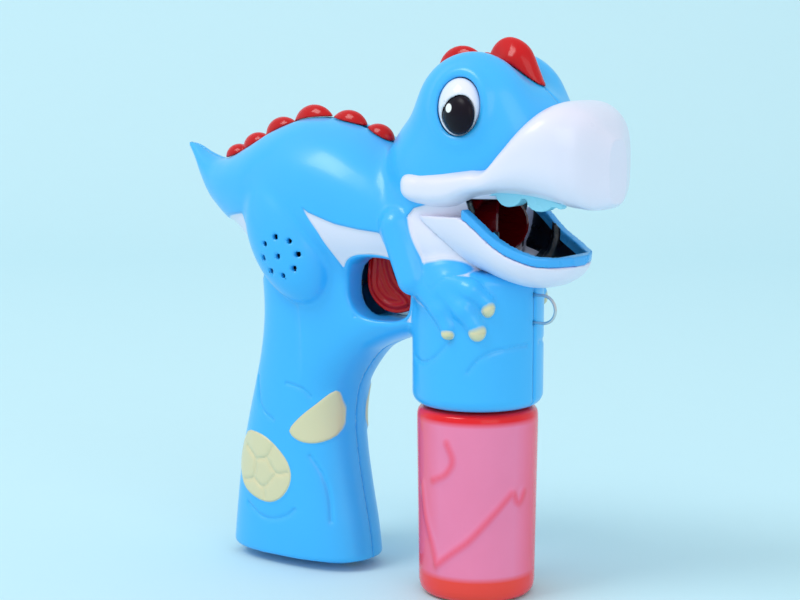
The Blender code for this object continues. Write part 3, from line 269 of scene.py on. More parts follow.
def line_distance(p, q, line, closed=False):
    """Distance to a line of points in a plane; inside a closed one it is positive, outside negative."""
    best = np.full(np.shape(p), 1e9)
    inside = np.zeros(np.shape(p), bool)
    ends = line[1:] + line[:1] if closed else line[1:]
    for a, b in zip(line, ends):
        d = b - a
        t = np.clip(((p - a[0]) * d[0] + (q - a[1]) * d[1]) / (d @ d), 0, 1)
        best = np.minimum(best, (p - a[0] - t * d[0]) ** 2 + (q - a[1] - t * d[1]) ** 2)
        if closed:
            crosses = (a[1] > q) != (b[1] > q)
            with np.errstate(divide="ignore", invalid="ignore"):
                at = a[0] + (q - a[1]) * d[0] / (d[1] if d[1] else 1e-9)
            inside ^= crosses & (p < at)
    best = np.sqrt(best)
    return np.where(inside, best, -best) if closed else best


TEARDROP_LINE = spline_2d(TEARDROP, 3, True)
EGG_LINE = spline_2d(EGG, 3, True)
CREASE_LINES = [spline_2d(line, 3, False) for line in CREASES]
COLLAR_LINES = [spline_2d(line, 3, False) for line in COLLAR_CREASES]


# ---------------------------------------------------------------- meshing
def sample(field, low, high, step):
    """Field values on a grid; away from the surface only the sign is kept."""
    low = np.asarray(low, float)
    blocks = (np.ceil((np.asarray(high, float) - low) / step).astype(int) + BLOCK) // BLOCK
    nx, ny, nz = blocks
    size = BLOCK * step
    corners = np.argwhere(np.ones(blocks, bool))
    middles = low + (corners + 0.5) * size - step / 2
    rough = field(*middles.T).reshape(nx, ny, nz)
    values = np.empty((nx, ny, nz, BLOCK, BLOCK, BLOCK))
    values[:] = rough[..., None, None, None]
    near = np.abs(rough) < 1.25 * size
    inner = np.argwhere(np.ones((BLOCK, BLOCK, BLOCK), bool))
    points = low + (np.argwhere(near)[:, None, :] * BLOCK + inner[None]) * step
    points = points.reshape(-1, 3)
    found = np.concatenate([field(*part.T) for part in np.array_split(points, 1 + len(points) // 400000)])
    values[near] = found.reshape(-1, BLOCK, BLOCK, BLOCK)
    return values.transpose(0, 3, 1, 4, 2, 5).reshape(nx * BLOCK, ny * BLOCK, nz * BLOCK)


def surface_net(values, low, step):
    """Quads through the zero level of a grid of values: one vertex in each cell that it crosses."""
    inside = values < 0
    cells = tuple(n - 1 for n in values.shape)
    total, count = np.zeros((*cells, 3)), np.zeros(cells)
    for axis in range(3):
        first, second = [slice(None)] * 3, [slice(None)] * 3
        first[axis], second[axis] = slice(0, -1), slice(1, None)
        a, b = values[tuple(first)], values[tuple(second)]
        crossed = inside[tuple(first)] != inside[tuple(second)]
        at = np.where(crossed, a / np.where(crossed, a - b, 1), 0)
        u, v = [k for k in range(3) if k != axis]
        for du in (0, 1):
            for dv in (0, 1):
                part = [slice(None)] * 3
                part[u], part[v] = slice(du, du + cells[u]), slice(dv, dv + cells[v])
                hit = crossed[tuple(part)]
                count += hit
                total[..., axis] += at[tuple(part)]
                total[..., u] += hit * du
                total[..., v] += hit * dv
    live = count > 0
    index = np.full(cells, -1)
    index[live] = np.arange(live.sum())
    verts = (np.argwhere(live) + total[live] / count[live][:, None]) * step + low
    quads = []
    for axis in range(3):
        u, v = (axis + 1) % 3, (axis + 2) % 3
        first, second = [slice(None)] * 3, [slice(None)] * 3
        first[axis], second[axis] = slice(0, -1), slice(1, None)
        edges = np.argwhere(inside[tuple(first)] != inside[tuple(second)])
        flip = inside[tuple(edges.T)]
        ring = []
        for du, dv in ((-1, -1), (0, -1), (0, 0), (-1, 0)):
            cell = edges.copy()
            cell[:, u] += du
            cell[:, v] += dv
            ring.append(index[tuple(cell.T)])
        faces = np.stack(ring, 1)
        faces[~flip] = faces[~flip][:, ::-1]
        quads.append(faces)
    return verts, np.concatenate(quads)


def settle(field, verts, step):
    """Move vertices along the slope of the field onto its zero level."""
    h = 0.12
    for _ in range(SETTLE_ROUNDS):
        x, y, z = verts.T
        here = field(x, y, z)
        slope = np.stack([field(x + h, y, z) - field(x - h, y, z), field(x, y + h, z) - field(x, y - h, z),
                          field(x, y, z + h) - field(x, y, z - h)], 1) / (2 * h)
        move = here[:, None] * slope / np.maximum((slope**2).sum(1), 0.2)[:, None]
        long = np.linalg.norm(move, axis=1)
        verts = verts - move * np.minimum(1, 0.5 * step / np.maximum(long, 1e-9))[:, None]
    return verts


def keep_values(mesh, label, values):
    """Store one number per vertex, for a material to read."""
    mesh.attributes.new(label, "FLOAT", "POINT").data.foreach_set("value", values.astype(np.float32))


def add_object(name, data):
    """An object for a mesh, light or camera, linked into the scene."""
    thing = bpy.data.objects.new(name, data)
    bpy.context.scene.collection.objects.link(thing)
    return thing


def moulded(name, field, low, high, step, paints=None):
    """The closed surface of a field; paints are named distances kept on its points."""
    low = np.asarray(low, float)
    verts, faces = surface_net(sample(field, low, high, step), low, step)
    verts = settle(field, verts, step)
    mesh = bpy.data.meshes.new(name)
    mesh.from_pydata((verts * MM).tolist(), [], faces.tolist())
    mesh.validate()
    mesh.shade_smooth()
    for label, paint in (paints or {}).items():
        keep_values(mesh, label, np.clip(paint(*verts.T), -4, 4))
    return add_object(name, mesh)


# ---------------------------------------------------------------- the dinosaur's skin
def leg_field(x, a, z):
    """One thigh, without the rest of the body."""
    return ellipsoid(x, a, z, *THIGH, lean=THIGH_LEAN)


def arm_field(x, a, z):
    """One arm with its hand and fingers."""
    (p, r), (q, s) = ARM
    d = capsule(x, a, z, p, q, r, s)
    for finger in FINGERS:
        for (p, r), (q, s) in zip(finger, finger[1:]):
            d = join(d, capsule(x, a, z, p, q, r, s), 1.6)
    return d


def claws_field(x, a, z):
    """The three claws of one hand."""
    return np.minimum.reduce([ellipsoid(x, a, z, centre, radii, yaw=-30) for centre, radii in CLAWS])


def collar_field(x, a, z):
    """The bottle collar with its soft lower edge."""
    out = np.hypot(x, a) - COLLAR_R + COLLAR_ROUND
    up = np.abs(z - (COLLAR_LOW + COLLAR_TOP) / 2) - (COLLAR_TOP - COLLAR_LOW) / 2 + COLLAR_ROUND
    corner = np.hypot(np.maximum(out, 0), np.maximum(up, 0))
    return corner + np.minimum(np.maximum(out, up), 0) - COLLAR_ROUND


def saddle_height(x):
    """Height of the edge of the blue back on the flank."""
    at = np.array(SADDLE_EDGE)
    return np.interp(x, at[:, 0], at[:, 1])


def leg_edge(x, z):
    """Positive ahead of the front of the leg."""
    at = np.array(LEG_FRONT)[::-1]
    return (x - np.interp(z, at[:, 1], at[:, 0])) * 0.78


def white_paint(x, y, z):
    """Distance into the white belly, throat and underside of the tail."""
    a = np.abs(y)
    arm, collar = arm_field(x, a, z), collar_field(x, a, z)
    shoulder = ellipsoid(x, a, z, *SHOULDER)
    flank = np.minimum(saddle_height(x) - z, leg_edge(x, z))
    flank = np.minimum(flank, np.minimum(arm, np.minimum(collar, shoulder)) - 0.7)
    hole = finger_hole(x, z, HOLE_R[0] + 1.5, HOLE_R[1] + 1.5)
    flank = np.minimum(flank, np.minimum(hole, z - 96.5))
    edge = np.array(REAR_EDGE)
    rear = np.minimum(124.2 + 0.34 * a - z, np.interp(z, edge[:, 0], edge[:, 1]) - x)
    rear = np.minimum(rear, z - 100)
    return np.maximum(flank, rear)


def cream_paint(x, y, z):
    """Distance into the cream patches and claws."""
    a = np.abs(y)
    low = z < 76
    patch = np.full(np.shape(x), -9.0)
    if low.any():
        px, pa, pz, py = x[low], a[low], z[low], y[low]
        drop = np.minimum(line_distance(px, pz, TEARDROP_LINE, True), pa - 6)
        egg = np.minimum(line_distance(px, pz, EGG_LINE, True), pa - 7.5)
        spot = 6.4 - np.sqrt((px + 56.5) ** 2 + (py - 13.5) ** 2 + (pz - 58) ** 2 * 0.8)
        patch[low] = np.maximum(np.maximum(drop, egg), spot)
    return np.maximum(patch, -claws_field(x, a, z) + 0.15)


def crease_lines(x, y, z):
    """Distance from the engraved lines."""
    a = np.abs(y)
    best = np.full(np.shape(x), 9.0)
    grip = z < 74
    if grip.any():
        for line in CREASE_LINES:
            away = np.maximum(line_distance(x[grip], z[grip], line), 9 - a[grip])
            best[grip] = np.minimum(best[grip], away)
    ring = (z > 78) & (z < 98) & (x > -22)
    if ring.any():
        turn = np.degrees(np.arctan2(x[ring], a[ring]))
        for line in COLLAR_LINES:
            away = line_distance(turn * 0.4, z[ring], [p * (0.4, 1) for p in line])
            best[ring] = np.minimum(best[ring], away)
    return best


def finger_hole(x, z, half_x, half_z):
    """Distance to the finger hole's outline at the given half width and height."""
    reach = np.abs((x - HOLE_C[0]) / half_x) ** HOLE_POWER + np.abs((z - HOLE_C[1]) / half_z) ** HOLE_POWER
    return (reach ** (1 / HOLE_POWER) - 1) * half_z


def bare_skin(x, y, z):
    """The body's outer surface before relief, without its finger hole."""
    a = np.abs(y)
    body = loft(x, y, z, TORSO, 2.1)
    grip = loft(z, y, x, GRIP, 2.5)
    grip = join(grip, loft(x, y, z, BRIDGE, 3.0), 6)
    body = join(body, grip, 6)
    body = join(body, ellipsoid(x, y, z, *NECK), 7)
    head = ellipsoid(x, y, z, *SKULL[0])
    for centre, radii in SKULL[1:]:
        head = join(head, ellipsoid(x, y, z, centre, radii), 8)
    head = join(head, ellipsoid(x, a, z, *BROW), 4)
    body = join(body, head, 5)
    body = join(body, leg_field(x, a, z), 1.4)
    return cut(body, z - 3.2, 2.5)


def skin(x, y, z):
    """The body's outer surface with its relief, finger hole, collar, arms and eye rims."""
    a = np.abs(y)
    body = bare_skin(x, y, z)
    body = body + 0.8 * ramp(white_paint(x, y, z), 1.3)
    body = cut(body, finger_hole(x, z, *HOLE_R), 2.4)
    body = join(body, collar_field(x, a, z), 2.2)
    body = join(body, ellipsoid(x, a, z, *SHOULDER), 3.0)
    body = join(body, arm_field(x, a, z), 1.8)
    body = join(body, claws_field(x, a, z), 0.8)
    body = body - 0.45 * ramp(cream_paint(x, y, z), 1.2) * (z < 76)
    body = body + 0.5 * np.exp(-(crease_lines(x, y, z) / 0.8) ** 2)
    eye = ellipsoid(x, a, z, *EYE, yaw=EYE_YAW)
    body = body - 0.7 * np.exp(-((eye - 1.9) / 1.3) ** 2)
    return body


def hollow(x, y, z, outer):
    """The room inside the case, less its posts, ledge, shelf and boss."""
    room = outer + WALL
    keep = 5.6 - z
    for px, pz in SCREWS:
        keep = np.maximum(keep, SCREW_POST_R - np.hypot(x - px, z - pz))
    r = np.hypot(x, y)
    ledge = -np.maximum(np.abs(z - 86.2) - 1, 15 - r)
    shelf = np.where(x < -40, 1 - np.abs(z - 65.4), -9)
    shelf = np.minimum(shelf, np.hypot(x + 78, y - 9) - 2.5)
    boss = -cylinder(x, y, z, (DOOR_SCREW_X, 0), 3.8, 5, 14)
    for extra in (ledge, shelf, boss):
        keep = np.maximum(keep, extra)
    return np.maximum(room, keep)


def sound_holes(x, z):
    """The ring of holes over the speaker, and the one in its middle."""
    d = np.hypot(x - SPEAKER[0], z - SPEAKER[1])
    for k in range(SOUND_HOLES):
        turn = math.radians(360 / SOUND_HOLES * k + 8)
        hx, hz = SPEAKER[0] + SPEAKER[2] * math.cos(turn), SPEAKER[1] + SPEAKER[2] * math.sin(turn)
        d = np.minimum(d, np.hypot(x - hx, z - hz))
    return d - SOUND_HOLE_R


def mouth_shade(x, y, z):
    """Distance into the unlit room behind the open mouth."""
    room = np.minimum(np.minimum(x - 8.2, 24.9 - np.abs(y)), np.minimum(z - 117, 141.6 - z))
    return np.minimum(room, -bare_skin(x, y, z) - 0.6)


def socket(x, y, z, form):
    """The room for an eye or a pupil, on both sides of the head."""
    centre, radii = form
    return ellipsoid(x, np.abs(y), z, centre, [r + EYE_GAP for r in radii], yaw=EYE_YAW)


def case_half(side):
    """Field of one half of the case: side is -1 for the toy's right and 1 for its left."""
    def field(x, y, z):
        outer = skin(x, y, z)
        d = np.maximum(outer, -hollow(x, y, z, outer))
        d = cut(d, socket(x, y, z, EYE), 0.8)
        d = np.maximum(d, -socket(x, y, z, PUPIL))
        d = np.maximum(d, -cylinder(x, y, z, (0, 0), SOCKET_R, 60, 72))
        d = np.maximum(d, -cylinder(x, y, z, (0, 0), CAP_R, 71, 85.2))
        d = np.maximum(d, -block(x, y, z, *MOUTH, 1))
        reach = np.abs((x - DOOR_MIDDLE) / DOOR_R[0]) ** DOOR_POWER + np.abs(y / DOOR_R[1]) ** DOOR_POWER
        door = (reach ** (1 / DOOR_POWER) - 1) * DOOR_R[1]
        d = np.maximum(d, -np.maximum(door, z - 8))
        for corners in POCKETS:
            d = np.maximum(d, -block(x, y, z, *corners))
        for centre in CELLS:
            well = cylinder(x, y, z, centre, CELL_WELL_R, 5.4, 64.4)
            d = np.maximum(d, -np.maximum(well, outer + 1.5))
        d = np.maximum(d, -cylinder(x, y, z, (DOOR_SCREW_X, 0), 1.9, 4, 12))
        for leg_z in CORD_LEGS:
            d = np.maximum(d, -cylinder(y, z, x, (0, leg_z), CORD_R, 18, 26))
        for centre in SCREWS:
            d = np.maximum(d, -cylinder(x, z, y, centre, SCREW_BORE_R, -9.5, 7))
            d = np.maximum(d, -cylinder(x, z, y, centre, SCREW_HEAD_R, 5.7, 60))
        d = np.maximum(d, -crest_slots(x, y, z))
        if side < 0:
            d = np.maximum(d, -np.maximum(sound_holes(x, z), y + 20))
        return np.maximum(d, SPLIT - side * y)
    return field


def crest_slots(x, y, z):
    """The slots that the crests' tongues sit in."""
    d = np.full(np.shape(x), 99.0)
    for first, last, ridge, depth in (
            (-107.8, -42.7, BACK_RIDGE, 6.7),
            (-20.3, 15.3, HEAD_RIDGE, 6.7)):
        at = np.array(ridge)
        floor = np.interp(x, at[:, 0], at[:, 1]) - depth
        part = np.maximum(np.maximum(first - x, x - last), np.maximum(floor - z, np.abs(y) - 1.3))
        d = np.minimum(d, np.maximum(part, 145 - z))
    return d


def build_case():
    """The two half shells, their cut edges drawn onto one flat plane."""
    paints = {"white": white_paint, "cream": cream_paint, "crease": crease_lines, "dark": mouth_shade}
    for side, name in SIDES:
        low = (-137, -36 if side < 0 else -SEAM_REACH, 1.0)
        high = (48, SEAM_REACH if side < 0 else 36, 196)
        shell = moulded("case_" + name, case_half(side), low, high, FINE, paints)
        points = np.empty(len(shell.data.vertices) * 3, np.float32)
        shell.data.vertices.foreach_get("co", points)
        points = points.reshape(-1, 3)
        edge = np.abs(points[:, 1] - side * SPLIT * MM) < 0.25 * MM
        points[edge, 1] = side * SPLIT * MM
        shell.data.vertices.foreach_set("co", points.ravel())
        finish(shell, "case", painted_plastic(), "body_shell_" + name)


# ---------------------------------------------------------------- white mouldings
def build_muzzle():
    """White upper snout and lips over the front of the head."""
    def field(x, y, z):
        d = cut(loft(x, y, z, MUZZLE, 3.0), bare_skin(x, y, z) + 1.6, 0.3)
        return np.maximum(d, -loft(x, y, z, MUZZLE_INSIDE, 3.0))

    shape = moulded("muzzle", field, (-24, -32, 134), (60, 32, 180), 0.7)
    finish(shape, "case", white_plastic(), "muzzle_cover")


def rim_height(x):
    """Height of the lower jaw's rim."""
    at = np.array(spline_2d(RIM_LINE, 4, False))
    return np.interp(x, at[:, 0], at[:, 1])


def jaw_outside(x, y, z, inset=0.0):
    """The lower jaw as a full loft whose widest line is its rim."""
    low, rim, half = table_at(JAW, x)
    tall, half = np.maximum(rim - low - inset, 0.6), np.maximum(half - inset, 0.6)
    reach = (np.abs(y / half) ** 2.4 + np.abs((z - rim) / tall) ** 2.4) ** (1 / 2.4)
    return np.maximum((reach - 1) * np.minimum(half, tall), np.maximum(-16 - x, x - 41.2 + inset * 0.6))


def build_jaw():
    """White chin cover with the blue mouth tray in it."""
    def cover(x, y, z):
        d = jaw_outside(x, y, z)
        d = np.maximum(d, z - rim_height(x) + 3.4)
        d = np.maximum(d, -np.maximum(jaw_outside(x, y, z, 3.0), x - 36.5))
        return cut(d, bare_skin(x, y, z) + 0.6, 0.6)

    def tray(x, y, z):
        below = rim_height(x) - z
        d = np.maximum(jaw_outside(x, y, z, 2.0), -below)
        lip = np.maximum(jaw_outside(x, y, z, 0.2), np.maximum(-below, below - 3.2))
        d = np.minimum(d, lip)
        d = np.maximum(d, -np.maximum(jaw_outside(x, y, z, 4.4), x - 37))
        wiper_room = np.maximum(np.maximum(x - 15.5, np.abs(y) - 16.5), z - 128)
        front = np.maximum(d, np.maximum(9.2 - x, -wiper_room))
        wall = np.maximum(np.abs(x - 19.3) - 0.9, np.abs(y) - 19.5)
        wall = np.maximum(wall, np.maximum(z - 140.3, 117.5 - z))
        wall = np.maximum(wall, 11.6 - np.hypot(y, z - WIPER_AXIS_Z))
        wall = np.maximum(wall, np.maximum(jaw_outside(x, y, z, 2.5), 0) * (z < 128))
        return join(front, wall, 0.8)

    # Painted shade: the blue tray is painted near-black more than 3.6 mm below its rim and behind x 21.5
    # near the middle, where the inside of the mouth lies in shade.
    def depth(x, y, z):
        back_wall = np.minimum(21.5 - x, 20 - np.abs(y))
        return np.maximum(rim_height(x) - 3.6 - z, back_wall)

    step = 0.7
    shape = moulded("jaw", cover, (-20, -30, 108), (50, 30, 143), step)
    finish(shape, "case", white_plastic(), "jaw_cover")
    shape = moulded("mouth_liner", tray, (6, -30, 108), (50, 30, 145), step, {"dark": depth})
    finish(shape, "case", liner_plastic(), "mouth_tray")


def build_teeth():
    """Upper teeth: two scallops a side on a strip inside the lip."""
    plan = [(x, 140, 160, half) for x, _, _, half in MUZZLE]

    def field(x, y, z):
        a = np.abs(y)
        low, _, _ = table_at(MUZZLE, x)
        band = np.abs(loft(x, y, np.full_like(z, 150.0), plan, 3.0) + 4.6) - 1.1
        d = np.maximum(np.abs(z - low - 0.8) - 1.0, np.maximum(15 - x, x - 42))
        for lobe_x, lobe_z in TOOTH_LOBES:
            d = join(d, ellipsoid(x, np.zeros_like(y), z, (lobe_x, 0, lobe_z), (4.6, 9, 3.6)), 0.6)
        return np.maximum(np.maximum(d, band), 12 - a)

    shape = moulded("upper_tooth_row", field, (12, -28, 132), (56, 28, 148), SMALL)
    finish(shape, "case", tooth_plastic(), "upper_teeth")


# ---------------------------------------------------------------- crests and eyes
def build_crests():
    """Clear red spines along the back and on the head."""
    def back(x, y, z):
        d = np.full(np.shape(x), 99.0)
        for lx, lz, r in BACK_LOBES:
            d = join(d, ellipsoid(x, y, z, (lx, 0, lz), (r * 1.15, 4.2, r)), 0.5)
        d = join(d, strip(x, y, z, [(x0, z0 - 2.0) for x0, z0, _ in BACK_LOBES]), 0.8)
        d = cut(d, bare_skin(x, y, z) - 0.25, 0.4)
        return np.minimum(d, tongue(x, y, z, BACK_RIDGE, 6.4))

    def head(x, y, z):
        d = ellipsoid(x, y, z, (-20, 0, 171.5), (6, 3.6, 6.2))
        d = join(d, ellipsoid(x, y, z, (-7, 0, 183.6), (9.6, 3.6, 8.8)), 0.5)
        fin = ellipsoid(x, y, z, (12.5, 0, 185.4), (8.6, 3.8, 10.0), lean=-8)
        fin = join(fin, capsule(x, y, z, (15, 0, 186), (24.5, 0, 175.5), 5.4, 3.2), 4)
        d = join(d, fin, 0.5)
        d = join(d, strip(x, y, z, [(-20, 172.5), (-8, 182.0), (3, 186.0), (14, 184.0)]), 0.8)
        d = cut(d, bare_skin(x, y, z) - 0.25, 0.4)
        return np.minimum(d, tongue(x, y, z, HEAD_RIDGE, 6.4))

    shape = moulded("back_spines", back, (-116, -7, 142), (-34, 7, 176), SMALL)
    finish(shape, "case", clear_red(), "back_crest")
    shape = moulded("head_spines", head, (-28, -7, 162), (32, 7, 198), SMALL)
    finish(shape, "case", clear_red(), "head_crest")


def strip(x, y, z, points):
    """The low bar that joins the lobes of a crest."""
    bars = []
    for (x0, z0), (x1, z1) in zip(points, points[1:]):
        bars.append(capsule(x, y, z, (x0, 0, z0), (x1, 0, z1), 2.6, 2.6))
    return np.minimum.reduce(bars)


def tongue(x, y, z, ridge, depth):
    """The thin tongue below a crest."""
    at = np.array(ridge)
    top = np.interp(x, at[:, 0], at[:, 1])
    ends = np.maximum(at[0, 0] - x, x - at[-1, 0])
    return np.maximum(np.maximum(ends, np.abs(y) - 1.0), np.maximum(z - top, top - depth - z))


def build_eyes():
    """White eyes with dark pupils, each with a small catchlight painted on as a highlight."""
    for side, name in SIDES:
        def white(x, y, z, side=side):
            seat = ellipsoid(x, y * side, z, PUPIL[0], [r + 0.2 for r in PUPIL[1]], yaw=EYE_YAW)
            return cut(ellipsoid(x, y * side, z, *EYE, yaw=EYE_YAW), seat, 0.5)

        def dark(x, y, z, side=side):
            return ellipsoid(x, y * side, z, *PUPIL, yaw=EYE_YAW)

        # Painted highlight: a white catchlight dot on the pupil, above and behind its middle.
        def catchlight(x, y, z):
            return 1.5 - np.sqrt((x - PUPIL[0][0] + 2.4) ** 2 + (z - PUPIL[0][2] - 2.2) ** 2)

        low, high = (-6, min(14 * side, 31 * side), 159), (20, max(14 * side, 31 * side), 185)
        shape = moulded("eye_" + name, white, low, high, SMALL)
        finish(shape, "case", eye_white(), name + "_eye")
        shape = moulded("pupil_" + name, dark, low, high, SMALL, {"catchlight": catchlight})
        finish(shape, "case", pupil_gloss_and_painted_catchlight(), name + "_pupil")


# ---------------------------------------------------------------- trigger
def build_trigger():
    """Hanging trigger with ribbed sides and a scooped front, on its hub and crank."""
    px, pz = PIVOT
    outline = spline_2d([(-33.4, 123), (-33.6, 116.5), (-31.2, 109.6), (-26.6, 105.8), (-24.0, 103.2),
                         (-23.6, 100.6), (-26.2, 98.7), (-31, 97.7), (-36.4, 98.6), (-41.2, 102.2),
                         (-43.4, 107), (-43, 115), (-41.5, 123)], 3, True)

    def field(x, y, z):
        a = np.abs(y)
        inside = line_distance(x, z, outline, True)
        blade = cut(-inside, 6.4 - a, 2.4)
        rib = 0.35 * np.cos(inside * 2 * math.pi / 2.6)
        blade = blade - rib * ramp(a - 5.2, 1.0) * ramp(119 - z, 3) * ramp(7.5 - inside, 1)
        hub = cylinder(x, z, y, (px, pz), 2.0, -6.4, 15.3)
        arm = block(x, y, z, (px - 1.5, 13.9, pz - 0.5), (px + 1.5, 15.3, pz + CRANK), 0.3)
        pin = cylinder(x, z, y, (px, pz + CRANK), 1.1, 14, 18.3)
        d = np.minimum(np.minimum(blade, hub), np.minimum(arm, pin))
        return np.maximum(d, -cylinder(x, z, y, (px, pz), 1.3, -8, 13.2))

    shape = moulded("trigger_blade", field, (-46, -8, 94), (-25, 20, 140), SMALL)
    finish(shape, "trigger", clear_red(), "trigger")


# ---------------------------------------------------------------- bottle
def bottle_profile():
    """Radius and height: the bottle's outside from the base up, and its inside from the mouth down."""
    outer = [(0.0, 0.9), (12, 0.9), (15.5, 0.3), (17.6, 0.25), (19.2, 0.9), (20.2, 2.3), (20.6, 4.4)]
    outer += [(20.6 + 0.8 * (z - 4.4) / 55.6, z) for z in np.linspace(6, 60, 46)]
    outer += [(21.42, 62.5), (21.38, 64.4), (21.0, 65.8), (20.2, 66.7), (18.8, 67.1), (16.4, 67.3),
              (15.4, 67.8), (15.0, 69)]
    outer += [(15.0 + 0.75 * math.exp(-((z - 74.6) / 0.9) ** 2), z) for z in np.linspace(70, 80.1, 20)]
    inner = [(13.5, 80.1), (13.5, 67.0), (14.6, 65.8), (17.8, 65.4), (19.4, 64.2), (19.9, 62),
             (19.2, 6), (18.6, 3.4), (17.0, 2.4), (12, 2.9), (0.0, 3.1)]
    return outer, inner


def bottle_points():
    """Rings of points with the swirls raised, the numbers of each ring, and nearness to a swirl."""
    outer, inner = bottle_profile()
    lines = [spline_2d(line, 4, False) for line in SWIRLS]
    turn = 2 * math.pi * np.arange(BOTTLE_SIDES) / BOTTLE_SIDES
    degrees = (np.degrees(turn) + 90 + 180) % 360 - 180
    verts, rows, swirl = [], [], []
    for k, (r, z) in enumerate(outer + inner):
        if r == 0:
            rows.append([len(verts)] * BOTTLE_SIDES)
            verts.append((0, 0, z))
            swirl.append(-4.0)
            continue
        radius, near = np.full(BOTTLE_SIDES, r), np.full(BOTTLE_SIDES, -4.0)
        if k < len(outer) and 5 < z < 62:
            for line in lines:
                flat = [p * (SWIRL_PITCH, 1) for p in line]
                away = line_distance(degrees * SWIRL_PITCH, np.full(BOTTLE_SIDES, z), flat)
                radius = radius + 0.45 * np.exp(-(away / 1.5) ** 2)
                near = np.maximum(near, 0.9 - away)
        swirl += near.tolist()
        rows.append(list(range(len(verts), len(verts) + BOTTLE_SIDES)))
        verts += [(q * math.cos(t), q * math.sin(t), z) for q, t in zip(radius, turn)]
    return verts, rows, swirl


def build_bottle():
    """Clear pink bottle with a moulded swirl and its threads."""
    verts, rows, swirl = bottle_points()
    faces = []
    for low, high in zip(rows, rows[1:]):
        for k in range(BOTTLE_SIDES):
            m = (k + 1) % BOTTLE_SIDES
            face = [low[k], low[m], high[m], high[k]]
            faces.append([v for i, v in enumerate(face) if v != face[i - 1]])
    mesh = bpy.data.meshes.new("bottle_clear")
    mesh.from_pydata([Vector(v) * MM for v in verts], [], faces)
    bm = bmesh.new()
    bm.from_mesh(mesh)
    bmesh.ops.recalc_face_normals(bm, faces=bm.faces)
    bm.to_mesh(mesh)
    bm.free()
    mesh.shade_smooth()
    height = np.array(verts)[:, 2]
    keep_values(mesh, "swirl", np.array(swirl))
    keep_values(mesh, "band", height - BAND_HEIGHT)
    keep_values(mesh, "pool", POOL_HEIGHT - height)
    finish(add_object("bottle_clear", mesh), "bottle", bottle_plastic(), "bottle")


def build_liquid():
    """The last of the liquid on the bottle's floor, climbing a little at the wall and clear of the tube."""
    def pool(x, y, z):
        r = np.hypot(x, y)
        wall = 18.9 + 0.014 * (z - 6)
        climb = 0.35 * np.exp(-((r - 18.6) / 1.2) ** 2)
        d = cut(r - wall, z - 3.3, 3.0)
        d = np.maximum(d, z - LIQUID_LEVEL - climb)
        return np.maximum(d, -np.maximum(r - 2.6, z - 30))

    shape = moulded("bubble_liquid", pool, (-20.5, -20.5, 2), (20.5, 20.5, 12), SMALL)
    finish(shape, "bottle", liquid(), None)


# ---------------------------------------------------------------- materials
MATERIALS = {}


def node(tree, kind, **settings):
    """A shader node with its properties set."""
    made = tree.nodes.new(kind)
    for key, value in settings.items():
        setattr(made, key, value)
    return made


def noise(tree, place, scale, detail):
    """Cloudy values fixed to the object."""
    made = node(tree, "ShaderNodeTexNoise")
    made.inputs["Scale"].default_value = scale
    made.inputs["Detail"].default_value = detail
    tree.links.new(place.outputs["Object"], made.inputs["Vector"])
    return made.outputs["Fac"]


def spread(tree, value, low, high, **settings):
    """Maps low to high of a value onto 0 to 1."""
    made = node(tree, "ShaderNodeMapRange", **settings)
    made.inputs["From Min"].default_value = low
    made.inputs["From Max"].default_value = high
    tree.links.new(value, made.inputs["Value"])
    return made.outputs["Result"]


def painted(tree, under, colour, amount):
    """A colour laid over another by an amount of 0 to 1."""
    made = node(tree, "ShaderNodeMix", data_type="RGBA")
    tree.links.new(amount, made.inputs["Factor"])
    tree.links.new(under, made.inputs["A"])
    made.inputs["B"].default_value = (*colour, 1)
    return made.outputs["Result"]


def bumped(tree, height, strength, distance, normal=None):
    """A normal raised by a height, on top of an earlier normal."""
    made = node(tree, "ShaderNodeBump")
    made.inputs["Strength"].default_value = strength
    made.inputs["Distance"].default_value = distance
    tree.links.new(height, made.inputs["Height"])
    if normal:
        tree.links.new(normal, made.inputs["Normal"])
    return made.outputs["Normal"]


